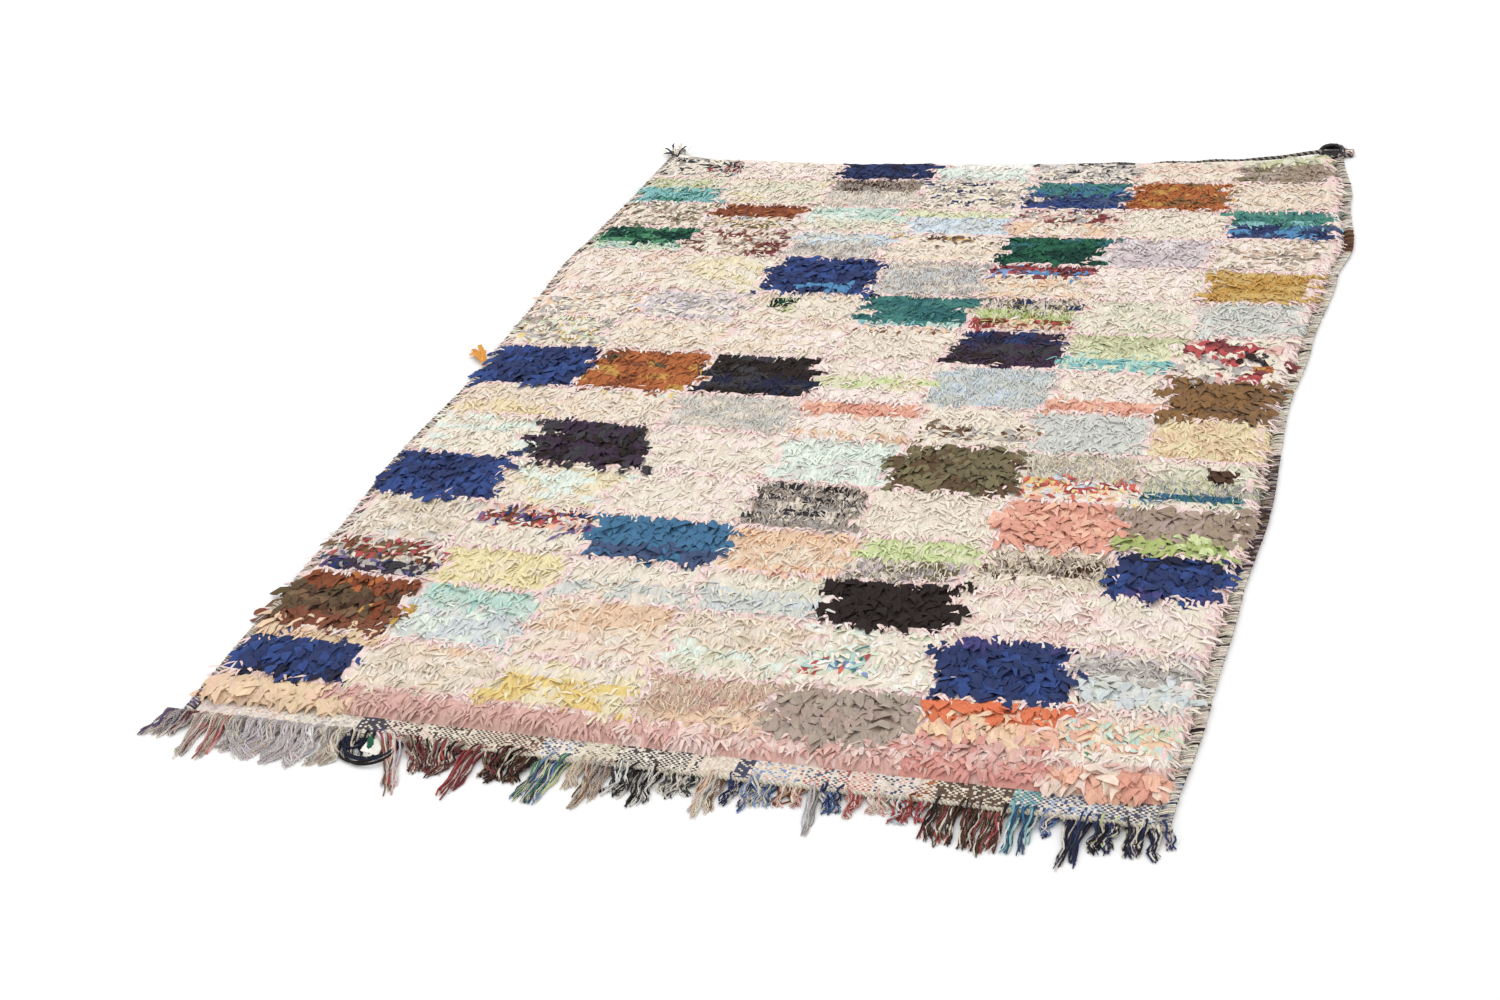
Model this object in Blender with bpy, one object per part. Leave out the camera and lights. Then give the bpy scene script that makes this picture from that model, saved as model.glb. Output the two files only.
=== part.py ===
"""A boucherouite rug, a hand-knotted rag rug lying flat, in metres with +Z up.

X runs across the rug and Y along it. The origin is in the middle of the underside, which lies on
z = 0. The end with the flat-woven band and the fringe is at -Y, and the pile leans towards it.
The tables give distances from the near left corner of the knotted field, across and along.
"""

import math
import random
from collections import namedtuple

import bmesh
import bpy
from mathutils import Vector

# The near left corner of the knotted field
FIELD_LEFT = -0.72
FIELD_NEAR = -1.04

# The space between two pieces that touch on the real rug
GAP = 0.0004

# Heights above the floor: the flat-woven band, the roots of the rim locks on the band and over the
# edge bindings, the pile at its rim, in the lines between its blocks, and how far a block rises
BAND_TOP = 0.0045
BAND_LOCK_ROOT = 0.0053
LOCK_ROOT = 0.0092
RIM_TOP = 0.0130
LINE_TOP = 0.0130
BLOCK_RISE = 0.0090
PILE_UNEVEN = 0.0020
RIM_SHOULDER = 0.005

# The flat-woven band past the pile's near edge, and the taper of the field's bottom face
BAND_WIDTH = 0.044
LAST_ROWS = 5

# The knotted blocks: how many across, the grid cells to each, and the rim cells to each grid cell
BLOCKS_ACROSS = 7
CELLS_ACROSS = 5
RIM_CELLS_ACROSS = 2
FIELD_LENGTH = 2.15

# Where the ground cloth ends at either side
Edge = namedtuple("Edge", "along left right")
EDGES = (
    Edge(-0.05, -0.018, 1.450),
    Edge(0.20, -0.025, 1.466),
    Edge(0.45, -0.027, 1.476),
    Edge(0.75, -0.042, 1.492),
    Edge(1.05, -0.030, 1.485),
    Edge(1.30, -0.038, 1.502),
    Edge(1.58, -0.055, 1.523),
    Edge(1.72, -0.045, 1.541),
    Edge(1.95, -0.034, 1.520),
    Edge(2.20, -0.030, 1.486),
)

# Where the ground cloth ends at the far end, which dips between its two corners
FarEdge = namedtuple("FarEdge", "across along")
FAR_EDGES = (
    FarEdge(-0.04, 2.165),
    FarEdge(0.10, 2.138),
    FarEdge(0.40, 2.116),
    FarEdge(0.80, 2.118),
    FarEdge(1.10, 2.127),
    FarEdge(1.32, 2.146),
    FarEdge(1.50, 2.186),
)

# The lines between neighbouring blocks, at the near and the far end
Line = namedtuple("Line", "near far")
BLOCK_LINES = (
    Line(0.200, 0.166),
    Line(0.427, 0.404),
    Line(0.675, 0.632),
    Line(0.880, 0.866),
    Line(1.096, 1.086),
    Line(1.288, 1.306),
)

# Each course of blocks, from the plain near border up: where it ends along the rug at its left end,
# middle and right end, and how far its knots hang past the ground cloth at either side
Course = namedtuple("Course", "left middle right hang_left hang_right")
COURSES = (
    Course(0.052, 0.040, 0.048, 0.018, 0.012),
    Course(0.180, 0.156, 0.172, 0.027, 0.013),
    Course(0.340, 0.316, 0.312, 0.046, 0.013),
    Course(0.455, 0.436, 0.450, 0.028, 0.011),
    Course(0.600, 0.563, 0.565, 0.024, 0.018),
    Course(0.745, 0.711, 0.698, 0.009, 0.008),
    Course(0.894, 0.862, 0.850, 0.011, 0.008),
    Course(1.006, 0.999, 0.994, 0.016, 0.008),
    Course(1.169, 1.157, 1.131, 0.018, 0.007),
    Course(1.300, 1.295, 1.295, 0.028, 0.011),
    Course(1.425, 1.432, 1.441, 0.026, 0.008),
    Course(1.617, 1.589, 1.574, 0.031, 0.009),
    Course(1.742, 1.719, 1.722, 0.013, 0.007),
    Course(1.874, 1.854, 1.867, 0.032, 0.007),
    Course(2.017, 2.002, 2.005, 0.022, 0.008),
    Course(None, None, None, 0.024, 0.009),
)

# Grid cells along a block, from its near line: where each starts, how high the pile is there as a
# share of a block's rise, and the rim cells to it
Step = namedtuple("Step", "part rise rim_cells")
STEPS = (Step(0.0, 0.0, 1), Step(0.15, 0.88, 2), Step(0.45, 1.0, 2), Step(0.80, 0.72, 1))
BORDER_STEPS = (Step(0.0, 0.0, 2),)

# Rim locks: thickness in the middle and at the tip, the widths there as shares of the root, and how
# far a lock on the band or at the far edge reaches
LOCK_MIDDLE = 0.0065
LOCK_TIP = 0.0030
LOCK_WIDTHS = (0.94, 0.62)
LOCK_TIP_DROP = 0.0032
LONG_REACH = 0.029
BAND_HANG = (0.010, 0.022)
FAR_HANG = (0.007, 0.014)

# Overcast edge binding: its width, height, and how much its wraps swell it
SELVEDGE_WIDTH = 0.0225
SELVEDGE_HEIGHT = 0.0078
SELVEDGE_SWELL = 0.07

# Far end cord, and the tufts at its two corners: how far each stands off, and how far it leans out
CORD_WIDTH = 0.0095
CORD_HEIGHT = 0.0080
CORD_SWELL = 0.09
CORNER_CELLS = 3
CORNER_TUFTS = (0.042, 0.060, 0.030)
CORNER_LEAN = 0.35

# Near fringe: the twined cord that holds it, the share of a strand's place that the strand fills at
# its root, how it swells and tapers, and how unevenly the strands of a group end
FRINGE_CORD_WIDTH = 0.0090
FRINGE_CORD_HEIGHT = 0.0075
FRINGE_CORD_FRONT = 0.0055
STRAND_FILL = 0.86
STRAND_SWELL = 1.04
STRAND_TIP_WIDTH = 0.80
STRAND_TIP_HEIGHT = 0.0030
MIDDLE_HANG = 0.18
STRAND_UNEVEN = 0.09

# Groups of strands along the near fringe: where the group starts and ends on its cord, where its
# tips start and end, how far they reach, the number of strands, and the bundle's thickness
Group = namedtuple("Group", "root_from root_to tip_from tip_to reach strands thick")
FRINGE = (
    Group(-0.042, 0.000, -0.078, -0.022, 0.050, 4, 0.012),
    Group(0.000, 0.030, -0.002, 0.027, 0.088, 4, 0.008),
    Group(0.030, 0.062, 0.033, 0.058, 0.098, 4, 0.008),
    Group(0.062, 0.092, 0.064, 0.088, 0.055, 3, 0.009),
    Group(0.092, 0.152, 0.094, 0.146, 0.089, 6, 0.010),
    Group(0.152, 0.222, 0.156, 0.218, 0.090, 6, 0.009),
    Group(0.222, 0.262, 0.228, 0.258, 0.078, 4, 0.008),
    Group(0.262, 0.308, 0.268, 0.322, 0.056, 4, 0.008),
    Group(0.308, 0.348, 0.364, 0.390, 0.114, 4, 0.007),
    Group(0.348, 0.458, 0.396, 0.450, 0.062, 8, 0.010),
    Group(0.458, 0.492, 0.458, 0.488, 0.106, 4, 0.009),
    Group(0.492, 0.582, 0.496, 0.566, 0.062, 7, 0.011),
    Group(0.582, 0.628, 0.572, 0.614, 0.106, 5, 0.010),
    Group(0.628, 0.656, 0.628, 0.652, 0.058, 2, 0.008),
    Group(0.656, 0.694, 0.662, 0.688, 0.090, 3, 0.009),
    Group(0.694, 0.732, 0.700, 0.730, 0.058, 3, 0.012),
    Group(0.732, 0.768, 0.738, 0.762, 0.080, 3, 0.012),
    Group(0.768, 0.826, 0.772, 0.820, 0.044, 4, 0.011),
    Group(0.826, 0.864, 0.826, 0.858, 0.084, 4, 0.008),
    Group(0.864, 0.890, 0.866, 0.888, 0.046, 2, 0.009),
    Group(0.890, 0.938, 0.892, 0.934, 0.054, 4, 0.008),
    Group(0.938, 0.980, 0.940, 0.976, 0.045, 3, 0.008),
    Group(0.980, 1.000, 0.990, 1.002, 0.092, 2, 0.005),
    Group(1.000, 1.036, 1.008, 1.036, 0.042, 3, 0.008),
    Group(1.036, 1.066, 1.042, 1.064, 0.054, 3, 0.008),
    Group(1.066, 1.100, 1.070, 1.098, 0.034, 3, 0.007),
    Group(1.100, 1.156, 1.104, 1.150, 0.046, 5, 0.009),
    Group(1.156, 1.262, 1.158, 1.258, 0.088, 10, 0.009),
    Group(1.262, 1.304, 1.264, 1.296, 0.086, 4, 0.009),
    Group(1.304, 1.334, 1.306, 1.328, 0.040, 2, 0.008),
    Group(1.334, 1.372, 1.334, 1.366, 0.092, 4, 0.009),
    Group(1.372, 1.412, 1.374, 1.410, 0.062, 3, 0.012),
    Group(1.412, 1.460, 1.414, 1.464, 0.064, 5, 0.009),
    Group(1.460, 1.474, 1.468, 1.480, 0.034, 1, 0.006),
)

# The orange rag strip at the left edge: where its root lies along the edge, and the offsets from the
# root, widths and thicknesses of its sections
STRIP_ROOT = (1.092, 1.110)
StripSection = namedtuple("StripSection", "out along width thick")
STRIP_SECTIONS = (
    StripSection(0.012, 0.020, 1.0, 0.0060),
    StripSection(0.030, 0.052, 0.9, 0.0050),
    StripSection(0.046, 0.078, 0.75, 0.0040),
    StripSection(0.058, 0.092, 0.35, 0.0030),
)
STRIP_ROOT_HEIGHT = 0.0050


def lerp(start, end, share):
    """The value a share of the way from start to end."""
    return start + (end - start) * share


def eased(rows, column, position):
    """A named column of a table at a position, eased from row to row along a cosine."""
    if position <= rows[0][0]:
        return getattr(rows[0], column)
    for before, after in zip(rows, rows[1:]):
        if position <= after[0]:
            share = (position - before[0]) / (after[0] - before[0])
            smooth = 0.5 - 0.5 * math.cos(math.pi * share)
            return lerp(getattr(before, column), getattr(after, column), smooth)
    return getattr(rows[-1], column)


def block_line(number, along):
    """Where a line between blocks lies across the rug: 0 is the left edge, 7 the right edge."""
    if number == 0:
        return eased(EDGES, "left", along)
    if number == BLOCKS_ACROSS:
        return eased(EDGES, "right", along)
    line = BLOCK_LINES[number - 1]
    return lerp(line.near, line.far, along / FIELD_LENGTH)


def course_line(number, across):
    """Where a line between courses lies along the rug: 0 is the near edge, 16 the far edge."""
    if number == 0:
        return 0.0
    if number == len(COURSES):
        left, right = FAR_EDGES[0].across, FAR_EDGES[-1].across
        return eased(FAR_EDGES, "along", lerp(left, right, across))
    course = COURSES[number - 1]
    if across < 0.5:
        return lerp(course.left, course.middle, across * 2)
    return lerp(course.middle, course.right, across * 2 - 1)


def grid_rows():
    """The field's grid lines along the rug, as course, step and rim line, with the last line."""
    rows = []
    rim_line = 0
    for course in range(len(COURSES)):
        for step in BORDER_STEPS if course == 0 else STEPS:
            rows.append((course, step, rim_line))
            rim_line += step.rim_cells
    return rows, rim_line


COLUMNS = BLOCKS_ACROSS * CELLS_ACROSS
RIM_COLUMNS = COLUMNS * RIM_CELLS_ACROSS
ROWS, RIM_ROWS = grid_rows()
ROW_LINES = [rim_line for course, step, rim_line in ROWS] + [RIM_ROWS]


def plan_point(column, row):
    """Where a grid line across meets a grid line along, on the floor."""
    across = column / COLUMNS
    if row == len(ROWS):
        along = course_line(len(COURSES), across)
    else:
        course, step, rim_line = ROWS[row]
        along = lerp(course_line(course, across), course_line(course + 1, across), step.part)
    block, cell = divmod(column, CELLS_ACROSS)
    left = block_line(block, along)
    if cell:
        left = lerp(left, block_line(block + 1, along), cell / CELLS_ACROSS)
    return Vector((FIELD_LEFT + left, FIELD_NEAR + along, 0.0))


def rim_point(rim_column, rim_row):
    """A point of the ground cloth's edge, on the straight run between two grid points."""
    if rim_row in (0, RIM_ROWS):
        row = 0 if rim_row == 0 else len(ROWS)
        column, cell = divmod(rim_column, RIM_CELLS_ACROSS)
        if cell == 0:
            return plan_point(column, row)
        return plan_point(column, row).lerp(plan_point(column + 1, row), cell / RIM_CELLS_ACROSS)
    column = 0 if rim_column == 0 else COLUMNS
    row = max(number for number, line in enumerate(ROW_LINES) if line <= rim_row)
    start, end = ROW_LINES[row], ROW_LINES[row + 1]
    share = (rim_row - start) / (end - start)
    return plan_point(column, row).lerp(plan_point(column, row + 1), share)


def rim_keys():
    """The rim's points in order round the field, from the near left corner along the near edge."""
    near = [(column, 0) for column in range(RIM_COLUMNS)]
    right = [(RIM_COLUMNS, row) for row in range(RIM_ROWS)]
    far = [(column, RIM_ROWS) for column in range(RIM_COLUMNS, 0, -1)]
    left = [(0, row) for row in range(RIM_ROWS, 0, -1)]
    return near + right + far + left


def inward(key):
    """The way from a rim point into the field, with both directions at a corner."""
    x = {0: 1, RIM_COLUMNS: -1}.get(key[0], 0)
    y = {0: 1, RIM_ROWS: -1}.get(key[1], 0)
    return Vector((x, y, 0))


def pile_height(column, row, block_rises, chance):
    """The pile's top at a grid point: low in the lines between blocks, full on the blocks."""
    block, cell = divmod(column, CELLS_ACROSS)
    course, step, rim_line = ROWS[row]
    uneven = chance.uniform(-PILE_UNEVEN, PILE_UNEVEN)
    if cell == 0 or step.rise == 0:
        return LINE_TOP + uneven
    return LINE_TOP + BLOCK_RISE * step.rise * block_rises[block, course] + uneven


def grow(bm, face, sections):
    """Draws one face out through sections of offset, width share, and low and high edge."""
    for offset, width, low, high in sections:
        centre = face.calc_center_median()
        result = bmesh.ops.extrude_discrete_faces(bm, faces=[face])
        face = result["faces"][0]
        for vertex in face.verts:
            level = high if vertex.co.z > centre.z else low
            place = centre + (vertex.co - centre) * width + offset
            vertex.co = (place.x, place.y, level)


def finish(name, bm, colour, roughness):
    """Closes the shape with its faces outwards and gives the object its own material."""
    bmesh.ops.recalc_face_normals(bm, faces=bm.faces)
    mesh = bpy.data.meshes.new(name)
    bm.to_mesh(mesh)
    bm.free()
    mesh.shade_smooth()
    material = bpy.data.materials.new(name)
    material.use_nodes = True
    shader = material.node_tree.nodes["Principled BSDF"]
    shader.inputs["Base Color"].default_value = (*colour, 1.0)
    shader.inputs["Roughness"].default_value = roughness
    shader.inputs["Metallic"].default_value = 0.0
    mesh.materials.append(material)
    bpy.context.scene.collection.objects.link(bpy.data.objects.new(name, mesh))


def side_sections(key, chance):
    """A lock over the left or right binding: out, and towards the near end as the pile lies."""
    course = max(number for number, (c, s, line) in enumerate(ROWS) if line <= key[1])
    course = COURSES[ROWS[course][0]]
    out = -1 if key[0] == 0 else 1
    hang = course.hang_left if out < 0 else course.hang_right
    reach = (hang + RIM_SHOULDER / 2) * chance.uniform(0.72, 1.12)
    half = Vector((out * reach / 2, -reach * chance.uniform(0.10, 0.28), 0))
    low = LOCK_ROOT - (LOCK_TIP_DROP if reach > LONG_REACH else 0)
    return (
        (half, LOCK_WIDTHS[0], LOCK_ROOT, LOCK_ROOT + LOCK_MIDDLE),
        (half, LOCK_WIDTHS[1], low, low + LOCK_TIP),
    )


def end_sections(key, chance):
    """A lock over the flat-woven band, or a shorter one over the far cord."""
    near = key[1] == 0
    reach = chance.uniform(*(BAND_HANG if near else FAR_HANG)) + RIM_SHOULDER / 2
    low = BAND_LOCK_ROOT if near else LOCK_ROOT
    half = Vector((reach * chance.uniform(-0.12, 0.12), (-1 if near else 1) * reach / 2, 0))
    return (
        (half, LOCK_WIDTHS[0], low, low + LOCK_MIDDLE),
        (half, LOCK_WIDTHS[1], low, low + LOCK_TIP),
    )


def knotted_rug():
    """The cloth: a lumpy slab of knotted pile with locks round its rim, and the flat-woven band."""
    chance = random.Random(15)
    bm = bmesh.new()
    keys = rim_keys()
    corners = ((0, 0), (RIM_COLUMNS, 0))
    near = [(column, 0) for column in range(RIM_COLUMNS + 1)]

    top, root, floor, band = {}, {}, {}, {}
    for key in keys:
        point = rim_point(*key)
        rise = RIM_TOP + chance.uniform(-PILE_UNEVEN, PILE_UNEVEN)
        top[key] = bm.verts.new(point + inward(key) * RIM_SHOULDER + Vector((0, 0, rise)))
        on_band = key[1] == 0 and key not in corners
        root[key] = bm.verts.new(point + Vector((0, 0, BAND_LOCK_ROOT if on_band else LOCK_ROOT)))
        if key[1] == 0:
            band[key] = bm.verts.new(point + Vector((0, 0, BAND_TOP)))
        if not on_band:
            floor[key] = bm.verts.new(point)

    block_rises = {
        (block, course): chance.uniform(0.82, 1.12)
        for block in range(BLOCKS_ACROSS)
        for course in range(len(COURSES))
    }
    for column in range(1, COLUMNS):
        for row in range(1, len(ROWS)):
            height = pile_height(column, row, block_rises, chance)
            place = plan_point(column, row) + Vector((0, 0, height))
            top[column * RIM_CELLS_ACROSS, ROW_LINES[row]] = bm.verts.new(place)

    # The top, cell by cell, taking in the rim's extra points where a cell lies on the rim
    for column in range(COLUMNS):
        x0, x1 = column * RIM_CELLS_ACROSS, (column + 1) * RIM_CELLS_ACROSS
        for y0, y1 in zip(ROW_LINES, ROW_LINES[1:]):
            loop = [(x, y0) for x in range(x0, x1)] + [(x1, y) for y in range(y0, y1)]
            loop += [(x, y1) for x in range(x1, x0, -1)] + [(x0, y) for y in range(y1, y0, -1)]
            bm.faces.new([top[key] for key in loop if key in top])

    # The rim: its upper faces carry the locks away from the corners, every second face, or every
    # fourth at the far end
    locks = []
    for number, (here, there) in enumerate(zip(keys, keys[1:] + keys[:1])):
        face = bm.faces.new((root[here], root[there], top[there], top[here]))
        on_corner = abs(inward(here).x * inward(here).y) + abs(inward(there).x * inward(there).y)
        spacing = 4 if here[1] == there[1] == RIM_ROWS else 2
        if number % spacing == 1 and not on_corner:
            locks.append((face, here, there))
        if here[1] == 0 and there[1] == 0:
            bm.faces.new((band[here], band[there], root[there], root[here]))
            continue
        wall = [floor[here], floor[there], root[there], root[here]]
        if there in corners:
            wall.insert(2, band[there])
        if here in corners:
            wall.append(band[here])
        bm.faces.new(wall)

    # The flat-woven band and its end
    end_top, end_floor = [], []
    for column in range(COLUMNS + 1):
        point = plan_point(column, 0) - Vector((0, BAND_WIDTH, 0))
        end_top.append(bm.verts.new(point + Vector((0, 0, BAND_TOP))))
        end_floor.append(bm.verts.new(point))
    for column in range(COLUMNS):
        start = column * RIM_CELLS_ACROSS
        edge = [band[key] for key in near[start:start + RIM_CELLS_ACROSS + 1]]
        bm.faces.new([end_top[column + 1], end_top[column]] + edge)
        bm.faces.new((end_floor[column], end_floor[column + 1], end_top[column + 1], end_top[column]))
    for corner, end in ((corners[0], 0), (corners[1], -1)):
        bm.faces.new((floor[corner], end_floor[end], end_top[end], band[corner]))

    # The underside, in strips from edge to edge
    bm.faces.new([floor[corners[1]], floor[corners[0]]] + end_floor)
    last = RIM_ROWS - LAST_ROWS
    for row in range(last):
        ends = ((0, row), (RIM_COLUMNS, row), (RIM_COLUMNS, row + 1), (0, row + 1))
        bm.faces.new([floor[key] for key in ends])
    loop = [(RIM_COLUMNS, row) for row in range(last, RIM_ROWS)]
    loop += [(column, RIM_ROWS) for column in range(RIM_COLUMNS, 0, -1)]
    loop += [(0, row) for row in range(RIM_ROWS, last - 1, -1)]
    bm.faces.new([floor[key] for key in loop])

    for face, here, there in locks:
        on_side = here[0] == there[0]
        grow(bm, face, (side_sections if on_side else end_sections)(there, chance))
    finish("knotted_rug", bm, (0.78, 0.66, 0.60), 0.95)


def tube(bm, line, profile, out):
    """Carries an open profile of (out, up) points along a line and closes it; returns its rings."""
    rings = []
    for number, point in enumerate(line):
        rings.append([bm.verts.new(point + out * x + Vector((0, 0, z))) for x, z in profile(number)])
    for ring, following in zip(rings, rings[1:]):
        for corner in range(len(ring)):
            after = (corner + 1) % len(ring)
            bm.faces.new((ring[corner], ring[after], following[after], following[corner]))
    bm.faces.new(rings[0])
    bm.faces.new(rings[-1][::-1])
    return rings


def selvedge_line(side):
    """The ground cloth's edge on one side, from the end of the band to the far corner."""
    column = 0 if side == "left" else COLUMNS
    points = [plan_point(column, row) for row in range(len(ROWS) + 1)]
    return [points[0] - Vector((0, BAND_WIDTH, 0))] + points


def selvedge_swells(side, count):
    """How far the wraps swell the binding at each station, one fat and one thin in turn."""
    chance = random.Random(len(side))
    return [(-1) ** n * SELVEDGE_SWELL * chance.uniform(0.3, 1.0) for n in range(count)]


def selvedge(side):
    """An overcast edge binding: rag yarn wound over the outer warps, flat underneath."""
    out = Vector((-1, 0, 0)) if side == "left" else Vector((1, 0, 0))
    line = [point + out * GAP for point in selvedge_line(side)]
    swells = selvedge_swells(side, len(line))

    def profile(number):
        width = SELVEDGE_WIDTH * (1 + swells[number])
        height = SELVEDGE_HEIGHT * (1 + swells[number])
        shares = ((0, 0), (0, 0.68), (0.28, 1), (0.70, 0.92), (0.97, 0.45), (1, 0))
        return [(width * x, height * z) for x, z in shares]

    bm = bmesh.new()
    tube(bm, line, profile, out)
    finish(f"{side}_selvedge", bm, (0.55, 0.47, 0.42), 0.95)


def far_cord():
    """The twined cord along the far end, past both bindings, with a tuft of ends at each corner."""
    chance = random.Random(7)
    edge = [rim_point(column, RIM_ROWS) for column in range(RIM_COLUMNS + 1)]
    beyond = SELVEDGE_WIDTH + GAP
    shares = [1 - n / CORNER_CELLS for n in range(CORNER_CELLS)]
    left = [edge[0] - Vector((beyond * share, 0, 0)) for share in shares]
    right = [edge[-1] + Vector((beyond * share, 0, 0)) for share in reversed(shares)]
    line = [point + Vector((0, GAP, 0)) for point in left + edge + right]
    swells = [(-1) ** n * CORD_SWELL * chance.uniform(0.3, 1.0) for n in range(len(line))]

    def profile(number):
        width = CORD_WIDTH * (1 + swells[number])
        height = CORD_HEIGHT * (1 + swells[number])
        return [(width * x, height * z) for x, z in ((0, 0), (0, 0.7), (0.45, 1), (1, 0.62), (1, 0))]

    bm = bmesh.new()
    rings = tube(bm, line, profile, Vector((0, 1, 0)))
    for first, lean, order in ((0, -1, 1), (len(rings) - 2, 1, -1)):
        for number, reach in enumerate(CORNER_TUFTS):
            start = first + order * 2 * number
            corners = set(rings[start][3:]) | set(rings[start + 1][3:])
            face = next(f for f in rings[start][3].link_faces if set(f.verts) == corners)
            half = Vector((lean * reach * CORNER_LEAN / 2 * (1 - number / 2), reach / 2, 0))
            grow(bm, face, ((half, 1.0, 0, CORD_HEIGHT), (half, 0.6, 0, STRAND_TIP_HEIGHT)))
    finish("far_cord", bm, (0.16, 0.15, 0.17), 0.95)


def near_fringe():
    """The cream twined cord past the band's end, and below it the strands in their groups."""
    bm = bmesh.new()
    back = Vector((FIELD_LEFT, FIELD_NEAR - BAND_WIDTH - GAP, 0))
    ridge_offset = Vector((0, -FRINGE_CORD_WIDTH / 2, FRINGE_CORD_HEIGHT))
    back_height = Vector((0, 0, FRINGE_CORD_FRONT))
    front_offset = Vector((0, -FRINGE_CORD_WIDTH, 0))

    # One coarse ring at each end of a group, and finer points along the front
    bounds = [group.root_from for group in FRINGE] + [FRINGE[-1].root_to]
    rings = []
    for across in bounds:
        point = back + Vector((across, 0, 0))
        offsets = (Vector(), back_height, ridge_offset, front_offset + back_height, front_offset)
        rings.append([bm.verts.new(point + offset) for offset in offsets])
    for ring, following, group in zip(rings, rings[1:], FRINGE):
        pitch = (group.root_to - group.root_from) / group.strands
        side = pitch * (1 - STRAND_FILL) / 2
        high, low = [ring[3]], [ring[4]]
        for strand in range(group.strands):
            for offset in (side, pitch - side):
                across = Vector((group.root_from + strand * pitch + offset, 0, 0))
                high.append(bm.verts.new(back + front_offset + across + back_height))
                low.append(bm.verts.new(back + front_offset + across))
        high.append(following[3])
        low.append(following[4])
        bm.faces.new((ring[0], following[0], following[1], ring[1]))
        bm.faces.new((ring[1], following[1], following[2], ring[2]))
        bm.faces.new([ring[2], following[2]] + high[::-1])
        bm.faces.new([following[0], ring[0]] + low)
        fronts = [
            bm.faces.new((low[n], low[n + 1], high[n + 1], high[n])) for n in range(len(low) - 1)
        ]
        for strand, face in enumerate(fronts[1::2]):
            middle = (strand + 0.5) / group.strands
            start = group.root_from + (strand + 0.5) * pitch
            end = lerp(group.tip_from, group.tip_to, middle)
            # The strand's share of the reach: full in the middle of a group, in turns long and short
            share = 1 - MIDDLE_HANG * abs(2 * middle - 1) - STRAND_UNEVEN * (strand % 2)
            narrow = (group.tip_to - group.tip_from) / (group.root_to - group.root_from)
            half = Vector((end - start, -group.reach, 0)) * share / 2
            middle_width = min(1.0, (1 + narrow) / 2) * STRAND_SWELL
            tip_width = min(0.8, narrow) * STRAND_TIP_WIDTH / middle_width
            sections = (
                (half, middle_width, 0, group.thick),
                (half, tip_width, 0, STRAND_TIP_HEIGHT),
            )
            grow(bm, face, sections)
    bm.faces.new(rings[0])
    bm.faces.new(rings[-1][::-1])
    finish("near_fringe", bm, (0.42, 0.36, 0.36), 0.95)


def loose_strip():
    """The orange rag strip, lying on the floor with its root against the left binding."""
    line = selvedge_line("left")
    swells = selvedge_swells("left", len(line))
    outer = [
        point - Vector((GAP + SELVEDGE_WIDTH * (1 + swell), 0, 0))
        for point, swell in zip(line, swells)
    ]

    def against(along):
        """The point against the binding's foot at a distance along the rug."""
        y = FIELD_NEAR + along
        before, after = next((a, b) for a, b in zip(outer, outer[1:]) if a.y <= y <= b.y)
        return before.lerp(after, (y - before.y) / (after.y - before.y)) - Vector((GAP, 0, 0))

    bm = bmesh.new()
    near, far = (against(along) for along in STRIP_ROOT)
    up = Vector((0, 0, STRIP_ROOT_HEIGHT))
    root = [bm.verts.new(point) for point in (near, far, far + up, near + up)]
    face = bm.faces.new(root)
    sections = []
    previous = StripSection(0, 0, 1, 0)
    for section in STRIP_SECTIONS:
        step = Vector((previous.out - section.out, section.along - previous.along, 0))
        sections.append((step, section.width / previous.width, 0, section.thick))
        previous = section
    grow(bm, face, sections)
    bm.faces.new(root)
    finish("loose_strip", bm, (0.80, 0.36, 0.06), 0.9)


for item in list(bpy.data.objects):
    bpy.data.objects.remove(item, do_unlink=True)

knotted_rug()
selvedge("left")
selvedge("right")
far_cord()
near_fringe()
loose_strip()
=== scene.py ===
"""The looks of a boucherouite rug: rag pile in blocks of colour on a flat-woven ground, with its
overcast edges, twined cords, fringe and corner tufts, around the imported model.

Metres with +Z up. X runs across the rug, Y along it to the corded far end, and the fringe is at -Y.
Tables give distances from the near left corner of the knotted field, across and along.
"""

import math
from collections import namedtuple

import bpy
import numpy as np
from mathutils import Matrix


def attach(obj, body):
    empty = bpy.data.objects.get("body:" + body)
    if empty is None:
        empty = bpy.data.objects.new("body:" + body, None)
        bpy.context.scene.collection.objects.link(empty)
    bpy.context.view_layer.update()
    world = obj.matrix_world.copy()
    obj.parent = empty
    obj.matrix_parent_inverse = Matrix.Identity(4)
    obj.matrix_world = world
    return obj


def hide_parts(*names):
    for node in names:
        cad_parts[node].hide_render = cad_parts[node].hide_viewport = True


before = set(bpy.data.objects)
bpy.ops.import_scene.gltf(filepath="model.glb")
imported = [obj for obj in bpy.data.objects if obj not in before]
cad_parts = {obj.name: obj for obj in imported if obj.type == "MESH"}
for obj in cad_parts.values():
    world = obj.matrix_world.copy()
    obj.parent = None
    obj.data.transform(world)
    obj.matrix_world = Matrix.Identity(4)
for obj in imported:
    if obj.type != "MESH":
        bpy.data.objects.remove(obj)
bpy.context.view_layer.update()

# The photograph's view. A long-ish lens from low in front of the near right corner, tilted a little
# to one side, as the two vanishing points of the rug's edges give it.
CAMERA_AT = np.array((1.086, -3.083, 1.755))
CAMERA_TARGET = np.array((-0.054, -0.395, 0.020))
CAMERA_ROLL = math.radians(-8.5)
CAMERA_LENS = 48.3


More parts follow.
